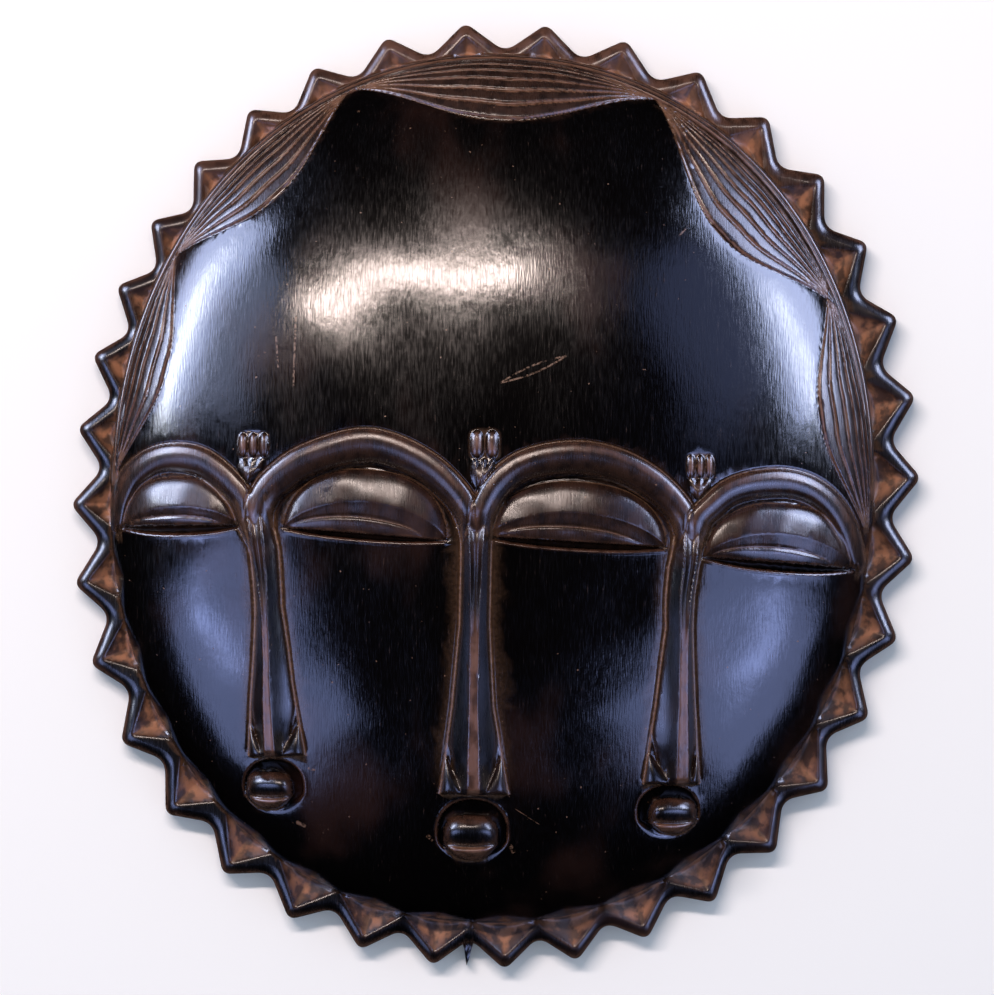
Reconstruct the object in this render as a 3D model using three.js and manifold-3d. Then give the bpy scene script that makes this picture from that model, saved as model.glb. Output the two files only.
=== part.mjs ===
import * as THREE from 'three';
import { ConvexGeometry } from 'three/addons/geometries/ConvexGeometry.js';
import { mergeVertices } from 'three/addons/utils/BufferGeometryUtils.js';
import Module from 'manifold-3d';

const wasm = await Module();
wasm.setup();

// A carved wooden mask with a toothed border, lying on its back with its faces up.
// +X is to the right of the faces, +Y towards the forehead, +Z out of the wood. Millimetres.

// Dome in plan, and the border that stands out beyond it at the ends and at the sides
const domeLength = 275.5;
const domeWidth = 242;
const domeLean = -3;
const borderEndWidth = 12.45;
const borderSideWidth = 13.15;
const maskLength = domeLength + 2 * borderEndWidth;
const maskWidth = domeWidth + 2 * borderSideWidth;

// Border of teeth
const maskLean = -6.7;
const borderShift = new THREE.Vector2(-0.4, 0.6);
const toothCount = 36;
const toothDepth = 8.4;
const borderThickness = 11;
const borderEdge = 6;
const borderBevel = 2.2;
const firstToothAngle = 2.1;
const recessSetback = 3.9;
const recessWidth = 16.6;
const recessDepth = 4.4;
const recessSlope = 1.3;
const recessOverlap = 3;
const spareToothAngle = 266.3;
const spareToothWidth = 3.6;
const spareToothSetback = 0.7;
const spareToothReach = maskLength / 2 - spareToothSetback;

// Both ovals are a little fuller than ellipses, whose fullness is 2.
const ovalFullness = 2.09;

// Dome of the forehead and the cheeks below it
const domeShift = new THREE.Vector2(-1.4, 2.8);
const domeSeat = 9;
const foreheadRise = 52;
const cheekDrop = 6.5;
const cheekFullness = 2.3;
const domeSides = 48;
const domeRings = 9;

// Hollow back
const rimWall = 17;
const crownWall = 12;

// Carved features
const browWidth = 7.6;
const browHeight = 5.4;
const browSink = 1.2;
const noseHeight = 8.5;
const noseRidge = 3.4;
const lidBulge = 4.6;
const innerLidBulge = 3;
const slitWidth = 2.6;
const slitDepth = 3;
const mouthHeight = 5.6;
const lipHeight = 2.2;
const markWidth = 2.9;
const markLength = 9;
const markHeight = 1.7;
const hairHeight = 1.5;
const bridgeGrooveWidth = 1.9;
const bridgeGrooveDepth = 1.6;

// How far raised forms reach down into the wood, and cutters stand out of it
const rootDepth = 3;
const clearance = 6;

// The step over which a surface's slope is read
const slopeStep = 0.5;

const WOOD = new THREE.MeshStandardMaterial({ color: 0x1b1312, roughness: 0.25, metalness: 0 });
const UP = new THREE.Vector3(0, 0, 1);

// Solids

// Closed three.js geometry to a solid that can be joined and cut.
function solid(geometry) {
  geometry.deleteAttribute('normal');
  geometry.deleteAttribute('uv');
  const merged = mergeVertices(geometry, 1e-4);
  return new wasm.Manifold(new wasm.Mesh({
    numProp: 3,
    vertProperties: new Float32Array(merged.attributes.position.array),
    triVerts: new Uint32Array(merged.index.array),
  }));
}

function join(solids) {
  return solids.reduce((whole, next) => whole.add(next));
}

function cut(body, cutters) {
  return cutters.reduce((rest, next) => rest.subtract(next), body);
}

function toGeometry(body) {
  const mesh = body.getMesh();
  const geometry = new THREE.BufferGeometry();
  geometry.setAttribute('position', new THREE.BufferAttribute(new Float32Array(mesh.vertProperties), 3));
  geometry.setIndex(outerShell(new Uint32Array(mesh.triVerts), mesh.vertProperties.length / 3));
  return geometry;
}

// The triangles of the largest connected shell. Where carved forms overlap, specks of air between
// their facets would otherwise stay sealed in the wood.
function outerShell(triangles, vertexCount) {
  const root = Array.from({ length: vertexCount }, (_, i) => i);
  const find = (start) => {
    let vertex = start;
    while (root[vertex] !== vertex) {
      root[vertex] = root[root[vertex]];
      vertex = root[vertex];
    }
    return vertex;
  };
  for (let i = 0; i < triangles.length; i += 3) {
    root[find(triangles[i + 1])] = find(triangles[i]);
    root[find(triangles[i + 2])] = find(triangles[i]);
  }
  const shells = new Map();
  for (let i = 0; i < triangles.length; i += 3) {
    const shell = find(triangles[i]);
    if (!shells.has(shell)) {
      shells.set(shell, []);
    }
    shells.get(shell).push(triangles[i], triangles[i + 1], triangles[i + 2]);
  }
  return [...shells.values()].reduce((largest, next) => (next.length > largest.length ? next : largest));
}

// A flat outline drawn on the XY plane, standing from low to high.
function prism(points, low, high) {
  const outline = THREE.ShapeUtils.isClockWise(points) ? [...points].reverse() : points;
  const geometry = new THREE.ExtrudeGeometry(new THREE.Shape(outline), {
    depth: high - low,
    bevelEnabled: false,
  });
  geometry.translate(0, 0, low);
  return solid(geometry);
}

// A closed skin over rings of points, with a flat lid at each end. Seen along the way from the first
// ring to the last, every ring runs from its top round past the right.
function loft(rings) {
  const sides = rings[0].length;
  const steps = rings.length - 1;
  const geometry = new THREE.CylinderGeometry(1, 1, 1, sides, steps);
  const position = geometry.attributes.position;
  const vertex = new THREE.Vector3();
  for (let i = 0; i < position.count; i += 1) {
    vertex.fromBufferAttribute(position, i);
    const ring = rings[Math.round((vertex.y + 0.5) * steps)];
    const onAxis = Math.hypot(vertex.x, vertex.z) < 0.5;
    const turn = Math.round(Math.atan2(vertex.x, vertex.z) / (2 * Math.PI) * sides);
    const target = onAxis ? middle(ring) : ring[(turn + sides) % sides];
    position.setXYZ(i, target.x, target.y, target.z);
  }
  return solid(geometry);
}

function middle(ring) {
  const total = ring.reduce((sum, point) => sum.add(point), new THREE.Vector3());
  return total.divideScalar(ring.length);
}

// A solid swept along a path. stations hold a point, the way up from the surface and the section
// there, as [side, up] offsets.
function sweep(stations) {
  const last = stations.length - 1;
  return loft(stations.map(({ point, up, section }, index) => {
    const before = stations[Math.max(index - 1, 0)].point;
    const after = stations[Math.min(index + 1, last)].point;
    const tangent = after.clone().sub(before).normalize();
    const side = tangent.clone().cross(up).normalize();
    const rise = side.clone().cross(tangent);
    return section.map(([across, high]) => (
      point.clone().addScaledVector(side, across).addScaledVector(rise, high)
    ));
  }));
}

function roundSection(width, height, sides = 7) {
  return Array.from({ length: sides }, (_, i) => {
    const turn = (i / sides) * 2 * Math.PI;
    return [Math.sin(turn) * width / 2, Math.cos(turn) * height / 2];
  });
}

// Ovals and surfaces

// Radius of a leaning oval at a polar angle, from its own centre.
function ovalRadius(angle, length, width, lean) {
  const own = angle - THREE.MathUtils.degToRad(lean);
  const across = Math.abs(Math.cos(own) / (width / 2)) ** ovalFullness;
  const along = Math.abs(Math.sin(own) / (length / 2)) ** ovalFullness;
  return (across + along) ** (-1 / ovalFullness);
}

// Spreads a geometry made on a circle of radius 1 over an oval.
function stretchToOval(geometry, length, width, lean) {
  const position = geometry.attributes.position;
  for (let i = 0; i < position.count; i += 1) {
    const angle = Math.atan2(position.getY(i), position.getX(i));
    const scale = ovalRadius(angle, length, width, lean);
    position.setXY(i, position.getX(i) * scale, position.getY(i) * scale);
  }
}

// A place on the mask, as shares of the dome's half width and half length from its centre.
function place(u, v) {
  return new THREE.Vector2(domeShift.x + u * domeWidth / 2, domeShift.y + v * domeLength / 2);
}

// How far out a point lies on the dome: 0 at its crown, 1 at its edge.
function outwardness(point) {
  const offset = point.clone().sub(domeShift);
  return offset.length() / ovalRadius(offset.angle(), domeLength, domeWidth, domeLean);
}

function profile(share, rise, fullness) {
  return rise * Math.sqrt(Math.max(0, 1 - share ** fullness));
}

function foreheadPoint(point, lift = 0) {
  const high = domeSeat + lift + profile(outwardness(point), foreheadRise, 2);
  return new THREE.Vector3(point.x, point.y, high);
}

function cheekPoint(point, lift = 0) {
  const high = domeSeat + lift + profile(outwardness(point), foreheadRise - cheekDrop, cheekFullness);
  return new THREE.Vector3(point.x, point.y, high);
}

// Way out of a surface at a point, from two short steps along it.
function surfaceUp(point, surface) {
  const here = surface(point);
  const right = surface(point.clone().add(new THREE.Vector2(slopeStep, 0))).sub(here);
  const ahead = surface(point.clone().add(new THREE.Vector2(0, slopeStep))).sub(here);
  return right.cross(ahead).normalize();
}

function domeSolid(rise, fullness) {
  const outline = [new THREE.Vector2(0, -domeSeat)];
  outline.push(new THREE.Vector2(1, -domeSeat));
  for (let ring = 0; ring < domeRings; ring += 1) {
    const share = Math.cos((ring / domeRings) * Math.PI / 2);
    outline.push(new THREE.Vector2(share, profile(share, rise, fullness)));
  }
  outline.push(new THREE.Vector2(0, rise));
  const geometry = new THREE.LatheGeometry(outline, domeSides);
  geometry.rotateX(Math.PI / 2);
  stretchToOval(geometry, domeLength, domeWidth, domeLean);
  geometry.translate(domeShift.x, domeShift.y, domeSeat);
  return solid(geometry);
}

// Toothed border

// The carver's teeth aren't quite evenly spaced: they crowd and open up a little round the border.
function toothAngle(index) {
  const turn = (index / toothCount) * 2 * Math.PI;
  const drift = -0.3 * Math.cos(turn) + 1.3 * Math.sin(turn) - 0.3 * Math.cos(2 * turn)
    + 2.1 * Math.sin(2 * turn) + 0.9 * Math.cos(3 * turn);
  return turn + THREE.MathUtils.degToRad(firstToothAngle + drift);
}

function borderPoint(angle, inset) {
  const radius = ovalRadius(angle, maskLength, maskWidth, maskLean) - inset;
  return new THREE.Vector2(Math.cos(angle), Math.sin(angle)).multiplyScalar(radius).add(borderShift);
}

function border() {
  const outline = [];
  for (let index = 0; index < toothCount; index += 1) {
    const tip = toothAngle(index);
    const next = toothAngle(index + 1);
    outline.push(borderPoint(tip, 0));
    outline.push(borderPoint((tip + next) / 2, toothDepth));
  }
  const bevelRise = borderThickness - borderEdge;
  const geometry = new THREE.ExtrudeGeometry(new THREE.Shape(outline), {
    depth: borderEdge,
    bevelEnabled: true,
    bevelSegments: 1,
    bevelThickness: bevelRise,
    bevelSize: borderBevel,
    bevelOffset: -borderBevel,
  });
  return solid(geometry);
}

// The three-cornered pit carved into the face of one tooth.
function toothRecess(index) {
  const angle = toothAngle(index);
  const outward = new THREE.Vector2(Math.cos(angle), Math.sin(angle));
  const across = new THREE.Vector2(-outward.y, outward.x);
  const tip = borderPoint(angle, recessSetback + borderBevel / 2);
  const domeEdge = ovalRadius(angle, domeLength, domeWidth, domeLean);
  const foot = outward.clone().multiplyScalar(domeEdge - recessOverlap).add(domeShift);
  const corners = [];
  const floor = borderThickness - recessDepth;
  const mouthSpread = recessSlope * (clearance / recessDepth);
  for (const [inset, high] of [[-mouthSpread, borderThickness + clearance], [recessSlope, floor]]) {
    const half = recessWidth / 2 - inset;
    const crown = tip.clone().addScaledVector(outward, -inset * 2);
    corners.push(new THREE.Vector3(crown.x, crown.y, high));
    for (const side of [-1, 1]) {
      const corner = foot.clone().addScaledVector(across, side * half);
      corners.push(new THREE.Vector3(corner.x, corner.y, high));
    }
  }
  return solid(new ConvexGeometry(corners));
}

// One thin plain tooth that stands between two others at the chin.
function spareTooth() {
  const angle = THREE.MathUtils.degToRad(spareToothAngle);
  const outward = new THREE.Vector2(Math.cos(angle), Math.sin(angle));
  const across = new THREE.Vector2(-outward.y, outward.x).multiplyScalar(spareToothWidth / 2);
  const root = outward.clone().multiplyScalar(spareToothReach - 2 * toothDepth);
  const tip = outward.clone().multiplyScalar(spareToothReach);
  return prism([root.clone().sub(across), tip, root.clone().add(across)], 0, borderEdge);
}

// Brows

// Each arch rises from one foot to its crest and comes down to the other. bow is above 1 where that
// side of the arch swings in late.
const brows = [
  { from: [-0.978, -0.075], crest: [-0.806, 0.077], to: [-0.618, -0.071], bow: [0.9, 1.4] },
  { from: [-0.606, -0.06], crest: [-0.322, 0.108], to: [-0.066, -0.068], bow: [1.4, 1.5] },
  { from: [-0.025, -0.065], crest: [0.22, 0.081], to: [0.493, -0.08], bow: [0.8, 1.5] },
  { from: [0.523, -0.08], crest: [0.732, 0.02], to: [0.95, -0.2], bow: [1.5, 1.05] },
];

function browPoint(brow, share) {
  const rising = share < 0.5;
  const turn = share * Math.PI;
  const foot = rising ? brow.from : brow.to;
  const bow = rising ? brow.bow[0] : brow.bow[1];
  const u = brow.crest[0] + (foot[0] - brow.crest[0]) * Math.abs(Math.cos(turn));
  const v = foot[1] + (brow.crest[1] - foot[1]) * Math.sin(turn) ** bow;
  return place(u, v);
}

function browRidge(brow) {
  const steps = 11;
  const stations = [];
  for (let i = 0; i <= steps; i += 1) {
    const share = i / steps;
    const taper = 0.62 + 0.38 * Math.sin(share * Math.PI);
    stations.push({
      point: foreheadPoint(browPoint(brow, share), -browSink),
      up: surfaceUp(browPoint(brow, share), foreheadPoint),
      section: roundSection(browWidth * taper, browHeight * (0.8 + 0.2 * taper) * 1.5),
    });
  }
  return sweep(stations);
}

// The forehead stands proud of the cheeks down to the line of the brows.
function forehead() {
  const line = [place(-1.2, -0.075)];
  for (const brow of brows) {
    const steps = 12;
    for (let i = 0; i <= steps; i += 1) {
      line.push(browPoint(brow, i / steps));
    }
  }
  line.push(place(1.2, -0.2));
  line.push(place(1.2, 1.2));
  line.push(place(-1.2, 1.2));
  return domeSolid(foreheadRise, 2).intersect(prism(line, 0, 2 * foreheadRise));
}

// Noses

// neck and wings are half widths at the bridge and the nostrils, as shares of a nose's length.
const noses = [
  { bridge: [-0.617, -0.02], waist: [-0.588, -0.25], tip: [-0.575, -0.604], neck: 0.046, wings: 0.111 },
  { bridge: [-0.04, -0.02], waist: [-0.045, -0.29], tip: [-0.049, -0.683], neck: 0.05, wings: 0.119 },
  { bridge: [0.512, -0.035], waist: [0.49, -0.24], tip: [0.49, -0.665], neck: 0.047, wings: 0.104 },
];

function nose(shape) {
  const path = new THREE.CatmullRomCurve3(
    [shape.bridge, shape.waist, shape.tip].map(([u, v]) => {
      const spot = place(u, v);
      return new THREE.Vector3(spot.x, spot.y, 0);
    }),
  );
  const length = place(...shape.bridge).distanceTo(place(...shape.tip));
  const steps = 8;
  const stations = [];
  for (let i = 0; i <= steps; i += 1) {
    const share = i / steps;
    const spot = path.getPoint(share);
    const point = new THREE.Vector2(spot.x, spot.y);
    const half = length * (shape.neck + (shape.wings - shape.neck) * share ** 3.2);
    const high = noseHeight * (0.72 + 0.28 * share + 0.18 * (1 - share) ** 6);
    const ridge = noseRidge / 2;
    const below = -rootDepth;
    stations.push({
      point: cheekPoint(point),
      up: surfaceUp(point, cheekPoint),
      section: [[ridge, high], [half * 0.6, high * 0.62], [half, high * 0.07], [half, below],
        [-half, below], [-half, high * 0.07], [-half * 0.6, high * 0.62], [-ridge, high]],
    });
  }
  return sweep(stations);
}

// The groove that parts the two brow ends as they run together down the bridge.
function bridgeGroove(shape) {
  const steps = 4;
  const stations = [];
  for (let i = 0; i <= steps; i += 1) {
    const share = i / steps;
    const u = THREE.MathUtils.lerp(shape.bridge[0], shape.waist[0], share);
    const v = THREE.MathUtils.lerp(shape.bridge[1] + 0.05, shape.waist[1], share);
    const point = place(u, v);
    const high = noseHeight * (0.72 + 0.07 * share);
    const wide = bridgeGrooveWidth * (1.2 - 0.7 * share);
    stations.push({
      point: cheekPoint(point, high),
      up: surfaceUp(point, cheekPoint),
      section: [[wide, clearance], [0, -bridgeGrooveDepth * (1 - 0.8 * share)], [-wide, clearance]],
    });
  }
  return sweep(stations);
}

// Rounded bosses

// An egg of wood set into a surface, with its own width, length and height above that surface.
function boss(spot, surface, width, length, height, sides) {
  const geometry = new THREE.SphereGeometry(1, sides, Math.round(sides * 0.6));
  geometry.rotateX(Math.PI / 2);
  geometry.scale(width / 2, length / 2, height);
  const tilt = new THREE.Quaternion().setFromUnitVectors(UP, surfaceUp(spot, surface));
  geometry.applyQuaternion(tilt);
  const point = surface(spot);
  geometry.translate(point.x, point.y, point.z);
  return solid(geometry);
}

// Eyes

// lid, arch and sag are heights over the line between an eye's corners, as shares of that line: the
// top of the lid, the lid's lower edge, and how far the slit hangs below the line.
const eyes = [
  { left: [-0.962, -0.084], right: [-0.647, -0.082], lid: 0.41, arch: 0.158, sag: 0.03 },
  { left: [-0.532, -0.087], right: [-0.135, -0.115], lid: 0.41, arch: 0.216, sag: 0 },
  { left: [-0.014, -0.107], right: [0.442, -0.131], lid: 0.325, arch: 0.17, sag: 0 },
  { left: [0.54, -0.153], right: [0.936, -0.182], lid: 0.38, arch: 0.191, sag: 0.016 },
];

// A place over an eye: share runs from its left corner to its right, and high goes up from the line
// between them, as a share of that line.
function eyePlace(eye, share, high) {
  const left = place(...eye.left);
  const along = place(...eye.right).sub(left);
  const upward = new THREE.Vector2(-along.y, along.x);
  return left.addScaledVector(along, share).addScaledVector(upward, high);
}

// The large lid ends in an arched edge, and steps down to a thin inner lid over the slit.
function eyelids(eye) {
  const steps = 9;
  const rings = [];
  for (let i = 0; i <= steps; i += 1) {
    const share = 0.03 + 0.94 * (i / steps);
    const bow = Math.sin(share * Math.PI);
    const full = bow ** 0.85;
    const brim = eye.lid * full;
    const edge = eye.arch * bow;
    const hem = -eye.sag * bow;
    const profileAcross = [
      [brim, -rootDepth / 3],
      [THREE.MathUtils.lerp(edge, brim, 0.6), lidBulge * 0.8 * full],
      [edge, lidBulge * full],
      [edge - 0.01 * bow, innerLidBulge * full],
      [hem, innerLidBulge * 0.6 * full],
      [hem, -rootDepth],
      [brim, -1.3 * rootDepth],
    ];
    rings.push(profileAcross.map(([high, lift]) => cheekPoint(eyePlace(eye, share, high), lift)));
  }
  return loft(rings);
}

function eyeSlit(eye) {
  const steps = 6;
  const stations = [];
  for (let i = 0; i <= steps; i += 1) {
    const share = i / steps;
    const bow = Math.sin(share * Math.PI);
    const open = 0.35 + 0.65 * bow;
    const half = slitWidth / 2 * open;
    const spot = eyePlace(eye, share, -(eye.sag + 0.012) * bow);
    stations.push({
      point: cheekPoint(spot),
      up: surfaceUp(spot, cheekPoint),
      section: [[half, clearance], [0, -slitDepth * open], [-half, clearance]],
    });
  }
  return sweep(stations);
}

// Mouths

// width and length are shares of the dome's own.
const mouths = [
  { at: [-0.565, -0.675], width: 0.078, length: 0.064 },
  { at: [-0.053, -0.777], width: 0.092, length: 0.08 },
  { at: [0.452, -0.734], width: 0.0785, length: 0.063 },
];

// A round pad with two lips across it. Heights in the lips' section count from the pad's own top.
function mouth(shape) {
  const centre = place(...shape.at);
  const width = shape.width * domeWidth;
  const length = shape.length * domeLength;
  const steps = 6;
  const rings = [];
  for (let i = 0; i <= steps; i += 1) {
    const share = i / steps - 0.5;
    const bow = Math.cos(share * Math.PI * 0.9);
    const section = [
      [0.34, -lipHeight],
      [0.22, lipHeight],
      [0, lipHeight * 0.7],
      [-0.07, -lipHeight * 0.2],
      [-0.15, lipHeight * 0.7],
      [-0.36, -lipHeight],
      [-0.3, -mouthHeight],
      [0.3, -mouthHeight],
    ];
    rings.push(section.map(([along, lift]) => {
      const offset = new THREE.Vector2(share * width * 0.86, along * length * bow);
      return cheekPoint(centre.clone().add(offset), mouthHeight * 0.8 + lift * bow);
    }));
  }
  return boss(centre, cheekPoint, width, length, mouthHeight * 0.8, 10).add(loft(rings));
}

// Scar marks over the noses

// pitch is a share of a mark's width.
const marks = [
  { at: [-0.614, 0.082], count: 3, pitch: 1.2 },
  { at: [-0.026, 0.096], count: 2, pitch: 1.4 },
  { at: [0.53, 0.045], count: 3, pitch: 1.17 },
];

function scarMarks(group) {
  return Array.from({ length: group.count }, (_, i) => {
    const spot = place(...group.at);
    spot.x += (i - (group.count - 1) / 2) * group.pitch * markWidth;
    return boss(spot, foreheadPoint, markWidth, markLength, markHeight, 6);
  });
}

// Hair

// Bundles of strands lie along the dome's edge, each a lens between two places on it. from and to
// are turns round the dome in degrees, and depth is how far in the bundle reaches at its middle.
const bundles = [
  { from: 178, to: 146, depth: 0.1, strands: 5 },
  { from: 148, to: 112, depth: 0.12, strands: 6 },
  { from: 112, to: 64.5, depth: 0.155, strands: 7 },
  { from: 64.5, to: 25, depth: 0.165, strands: 7 },
  { from: 28, to: -7, depth: 0.125, strands: 5 },
];
const hairEdge = 0.985;

function hairPoint(bundle, share, reach) {
  const turn = THREE.MathUtils.degToRad(THREE.MathUtils.lerp(bundle.from, bundle.to, share));
  const out = hairEdge - reach * bundle.depth * Math.sin(share * Math.PI) ** 0.8;
  return place(Math.cos(turn) * out, Math.sin(turn) * out);
}

// A bundle is one raised lens whose face is fluted into strands, with a groove between each two.
function hairBundle(bundle) {
  const steps = 7;
  const rings = [];
  for (let i = 0; i <= steps; i += 1) {
    const share = 0.03 + 0.94 * (i / steps);
    const high = hairHeight * Math.sin(share * Math.PI) ** 0.4;
    const across = [[0, -hairHeight / 3]];
    for (let strand = 0; strand < bundle.strands; strand += 1) {
      across.push([(strand + 0.55) / bundle.strands, high]);
      across.push([(strand + 1) / bundle.strands, strand + 1 < bundle.strands ? 0.08 * hairHeight : -hairHeight / 3]);
    }
    across.push([0.9, -rootDepth]);
    across.push([0.1, -rootDepth]);
    rings.push(across.map(([reach, lift]) => {
      const spot = hairPoint(bundle, share, reach);
      return foreheadPoint(spot).addScaledVector(surfaceUp(spot, foreheadPoint), lift);
    }));
  }
  return loft(rings);
}

// Hollow back

function hollow() {
  const high = domeSeat + foreheadRise - cheekDrop - crownWall;
  const geometry = new THREE.SphereGeometry(1, 32, 12);
  geometry.rotateX(Math.PI / 2);
  geometry.scale(1, 1, high);
  stretchToOval(geometry, domeLength - 2 * rimWall, domeWidth - 2 * rimWall, domeLean);
  geometry.translate(domeShift.x, domeShift.y, 0);
  return solid(geometry);
}

// The half of space below the plane that the mask lies on.
function underside() {
  const geometry = new THREE.BoxGeometry(2 * maskWidth, 2 * maskLength, 2 * borderThickness);
  geometry.translate(0, 0, -borderThickness);
  return solid(geometry);
}

function mask() {
  const recesses = Array.from({ length: toothCount }, (_, index) => toothRecess(index));
  const carvedBorder = cut(border(), recesses);
  const domes = domeSolid(foreheadRise - cheekDrop, cheekFullness).add(forehead());
  const raised = [
    ...brows.map(browRidge),
    ...noses.map(nose),
    ...eyes.map(eyelids),
    ...mouths.map(mouth),
    ...marks.flatMap(scarMarks),
    ...bundles.map(hairBundle),
  ];
  const body = join([carvedBorder, spareTooth(), domes, ...raised]);
  return cut(body, [
    ...eyes.map(eyeSlit),
    ...noses.map(bridgeGroove),
    hollow(),
    underside(),
  ]);
}

// The outline's own box is centred on the origin.
function centred(geometry) {
  geometry.computeBoundingBox();
  const centre = geometry.boundingBox.getCenter(new THREE.Vector3());
  geometry.translate(-centre.x, -centre.y, -geometry.boundingBox.min.z);
  return geometry;
}

const part = new THREE.Group();
const body = new THREE.Mesh(centred(toGeometry(mask())), WOOD);
body.name = 'mask';
part.add(body);

export default part;
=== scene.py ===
"""A carved wooden mask, lying on its back on a pale floor.

One board of dark polished wood carries a border of teeth, a high domed forehead with bundles of
carved hair along its edge, four brow arches that run down into three noses, four closed eyes and
three small mouths. Sizes of the carving are in millimetres, and meshes are written in metres.
"""

import logging
import math
from collections.abc import Callable
from dataclasses import dataclass
from enum import Enum

import bpy
import numpy as np
from mathutils import Matrix, Vector


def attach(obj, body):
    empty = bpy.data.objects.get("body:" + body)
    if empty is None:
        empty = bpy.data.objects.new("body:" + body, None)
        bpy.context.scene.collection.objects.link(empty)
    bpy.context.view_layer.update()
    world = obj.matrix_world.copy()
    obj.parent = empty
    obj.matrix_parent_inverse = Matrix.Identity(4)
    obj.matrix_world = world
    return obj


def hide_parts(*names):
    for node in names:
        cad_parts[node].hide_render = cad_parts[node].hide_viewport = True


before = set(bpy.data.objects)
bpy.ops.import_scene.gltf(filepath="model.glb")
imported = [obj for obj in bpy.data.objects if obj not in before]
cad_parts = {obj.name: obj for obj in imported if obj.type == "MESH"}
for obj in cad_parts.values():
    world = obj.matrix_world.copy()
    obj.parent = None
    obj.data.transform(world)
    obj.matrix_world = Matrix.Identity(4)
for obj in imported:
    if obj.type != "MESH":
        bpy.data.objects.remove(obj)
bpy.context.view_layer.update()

MM = 0.001
TINY = 1e-6
LOG = logging.getLogger("mask")

Array = np.ndarray
Point = tuple[float, float]
Triple = tuple[float, float, float]
Colour = tuple[float, float, float, float]


def ease(value: Array) -> Array:
    """Smooth step of a value from 0 to 1."""
    held = np.clip(value, 0.0, 1.0)
    return held * held * (3.0 - 2.0 * held)


def lerp(low: Array | float, high: Array | float, share: Array | float) -> Array | float:
    """Mix of two values by a share."""
    return low + (high - low) * share


def smooth_max(first: Array, second: Array, width: float) -> Array:
    """Greater of two heights, with a rounded inner corner of that width where they cross."""
    blend = np.maximum(width - np.abs(first - second), 0.0) / width
    return np.maximum(first, second) + blend * blend * width / 4.0


def smooth_min(first: Array, second: Array, width: float) -> Array:
    """Smaller of two heights, with a rounded corner of that width where they cross."""
    return -smooth_max(-first, -second, width)


def dome_curve(share: Array) -> Array:
    """Quarter of a circle: 1 at share 0, falling to 0 at share 1."""
    return np.sqrt(np.clip(1.0 - share * share, 0.0, None))


def bump(distance: Array, width: float) -> Array:
    """Bell of height 1 at distance 0, about twice the width across."""
    return np.exp(-((distance / width) ** 2))


def halve(within: Callable[[Array], Array], low: Array, high: Array, halvings: int) -> Array:
    """Greatest radii that still lie within a shape, found by halving.

    Args:
        within: tells which radii lie inside.
        low: radii that are surely inside.
        high: radii that are surely outside.
        halvings: how often the span between them is halved.

    Returns:
        One radius for each place.
    """
    for _ in range(halvings):
        middle = (low + high) / 2
        inside = within(middle)
        low, high = np.where(inside, middle, low), np.where(inside, high, middle)
    return low


def drift(x: Array, y: Array, wavelength: float, seed: int) -> Array:
    """Slow unevenness left by hand tools, about -1 to 1, from a few crossed waves.

    Args:
        x: places across the mask in millimetres.
        y: places along the mask in millimetres.
        wavelength: typical distance between two crests.
        seed: picks the waves.

    Returns:
        A value for each place.
    """
    waves = np.random.default_rng(seed)
    total = np.zeros_like(x)
    count = 7
    for _ in range(count):
        turn = waves.uniform(0.0, math.tau)
        length = wavelength * waves.uniform(0.7, 1.5)
        phase = waves.uniform(0.0, math.tau)
        along = x * math.cos(turn) + y * math.sin(turn)
        total += np.sin(along * math.tau / length + phase)
    return total / math.sqrt(count)


@dataclass(frozen=True)
class Oval:
    """A leaning oval, a little fuller than an ellipse."""

    centre: Point
    width: float
    length: float
    lean: float
    fullness: float = 2.09

    def radius(self, angle: Array) -> Array:
        """Radius from the oval's own centre at polar angles in radians.

        Args:
            angle: polar angles in radians.

        Returns:
            One radius for each angle.
        """
        own = angle - math.radians(self.lean)
        across = np.abs(np.cos(own) / (self.width / 2)) ** self.fullness
        along = np.abs(np.sin(own) / (self.length / 2)) ** self.fullness
        return (across + along) ** (-1.0 / self.fullness)

    def share(self, x: Array, y: Array) -> Array:
        """How far out places lie: 0 at the centre, 1 on the oval.

        Args:
            x: places across the mask.
            y: places along the mask.

        Returns:
            One share for each place.
        """
        dx = x - self.centre[0]
        dy = y - self.centre[1]
        return np.hypot(dx, dy) / self.radius(np.arctan2(dy, dx))

    def from_origin(self, angle: Array, surely_in: float = 40.0, surely_out: float = 190.0) -> Array:
        """Radius from the origin, which lies near the oval's own centre.

        Args:
            angle: polar angles in radians.
            surely_in: a radius inside the oval all round.
            surely_out: a radius outside it all round.

        Returns:
            One radius for each angle.
        """
        out_x, out_y = np.cos(angle), np.sin(angle)
        low, high = np.full(angle.shape, surely_in), np.full(angle.shape, surely_out)
        return halve(lambda radius: self.share(out_x * radius, out_y * radius) < 1, low, high, 26)


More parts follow.
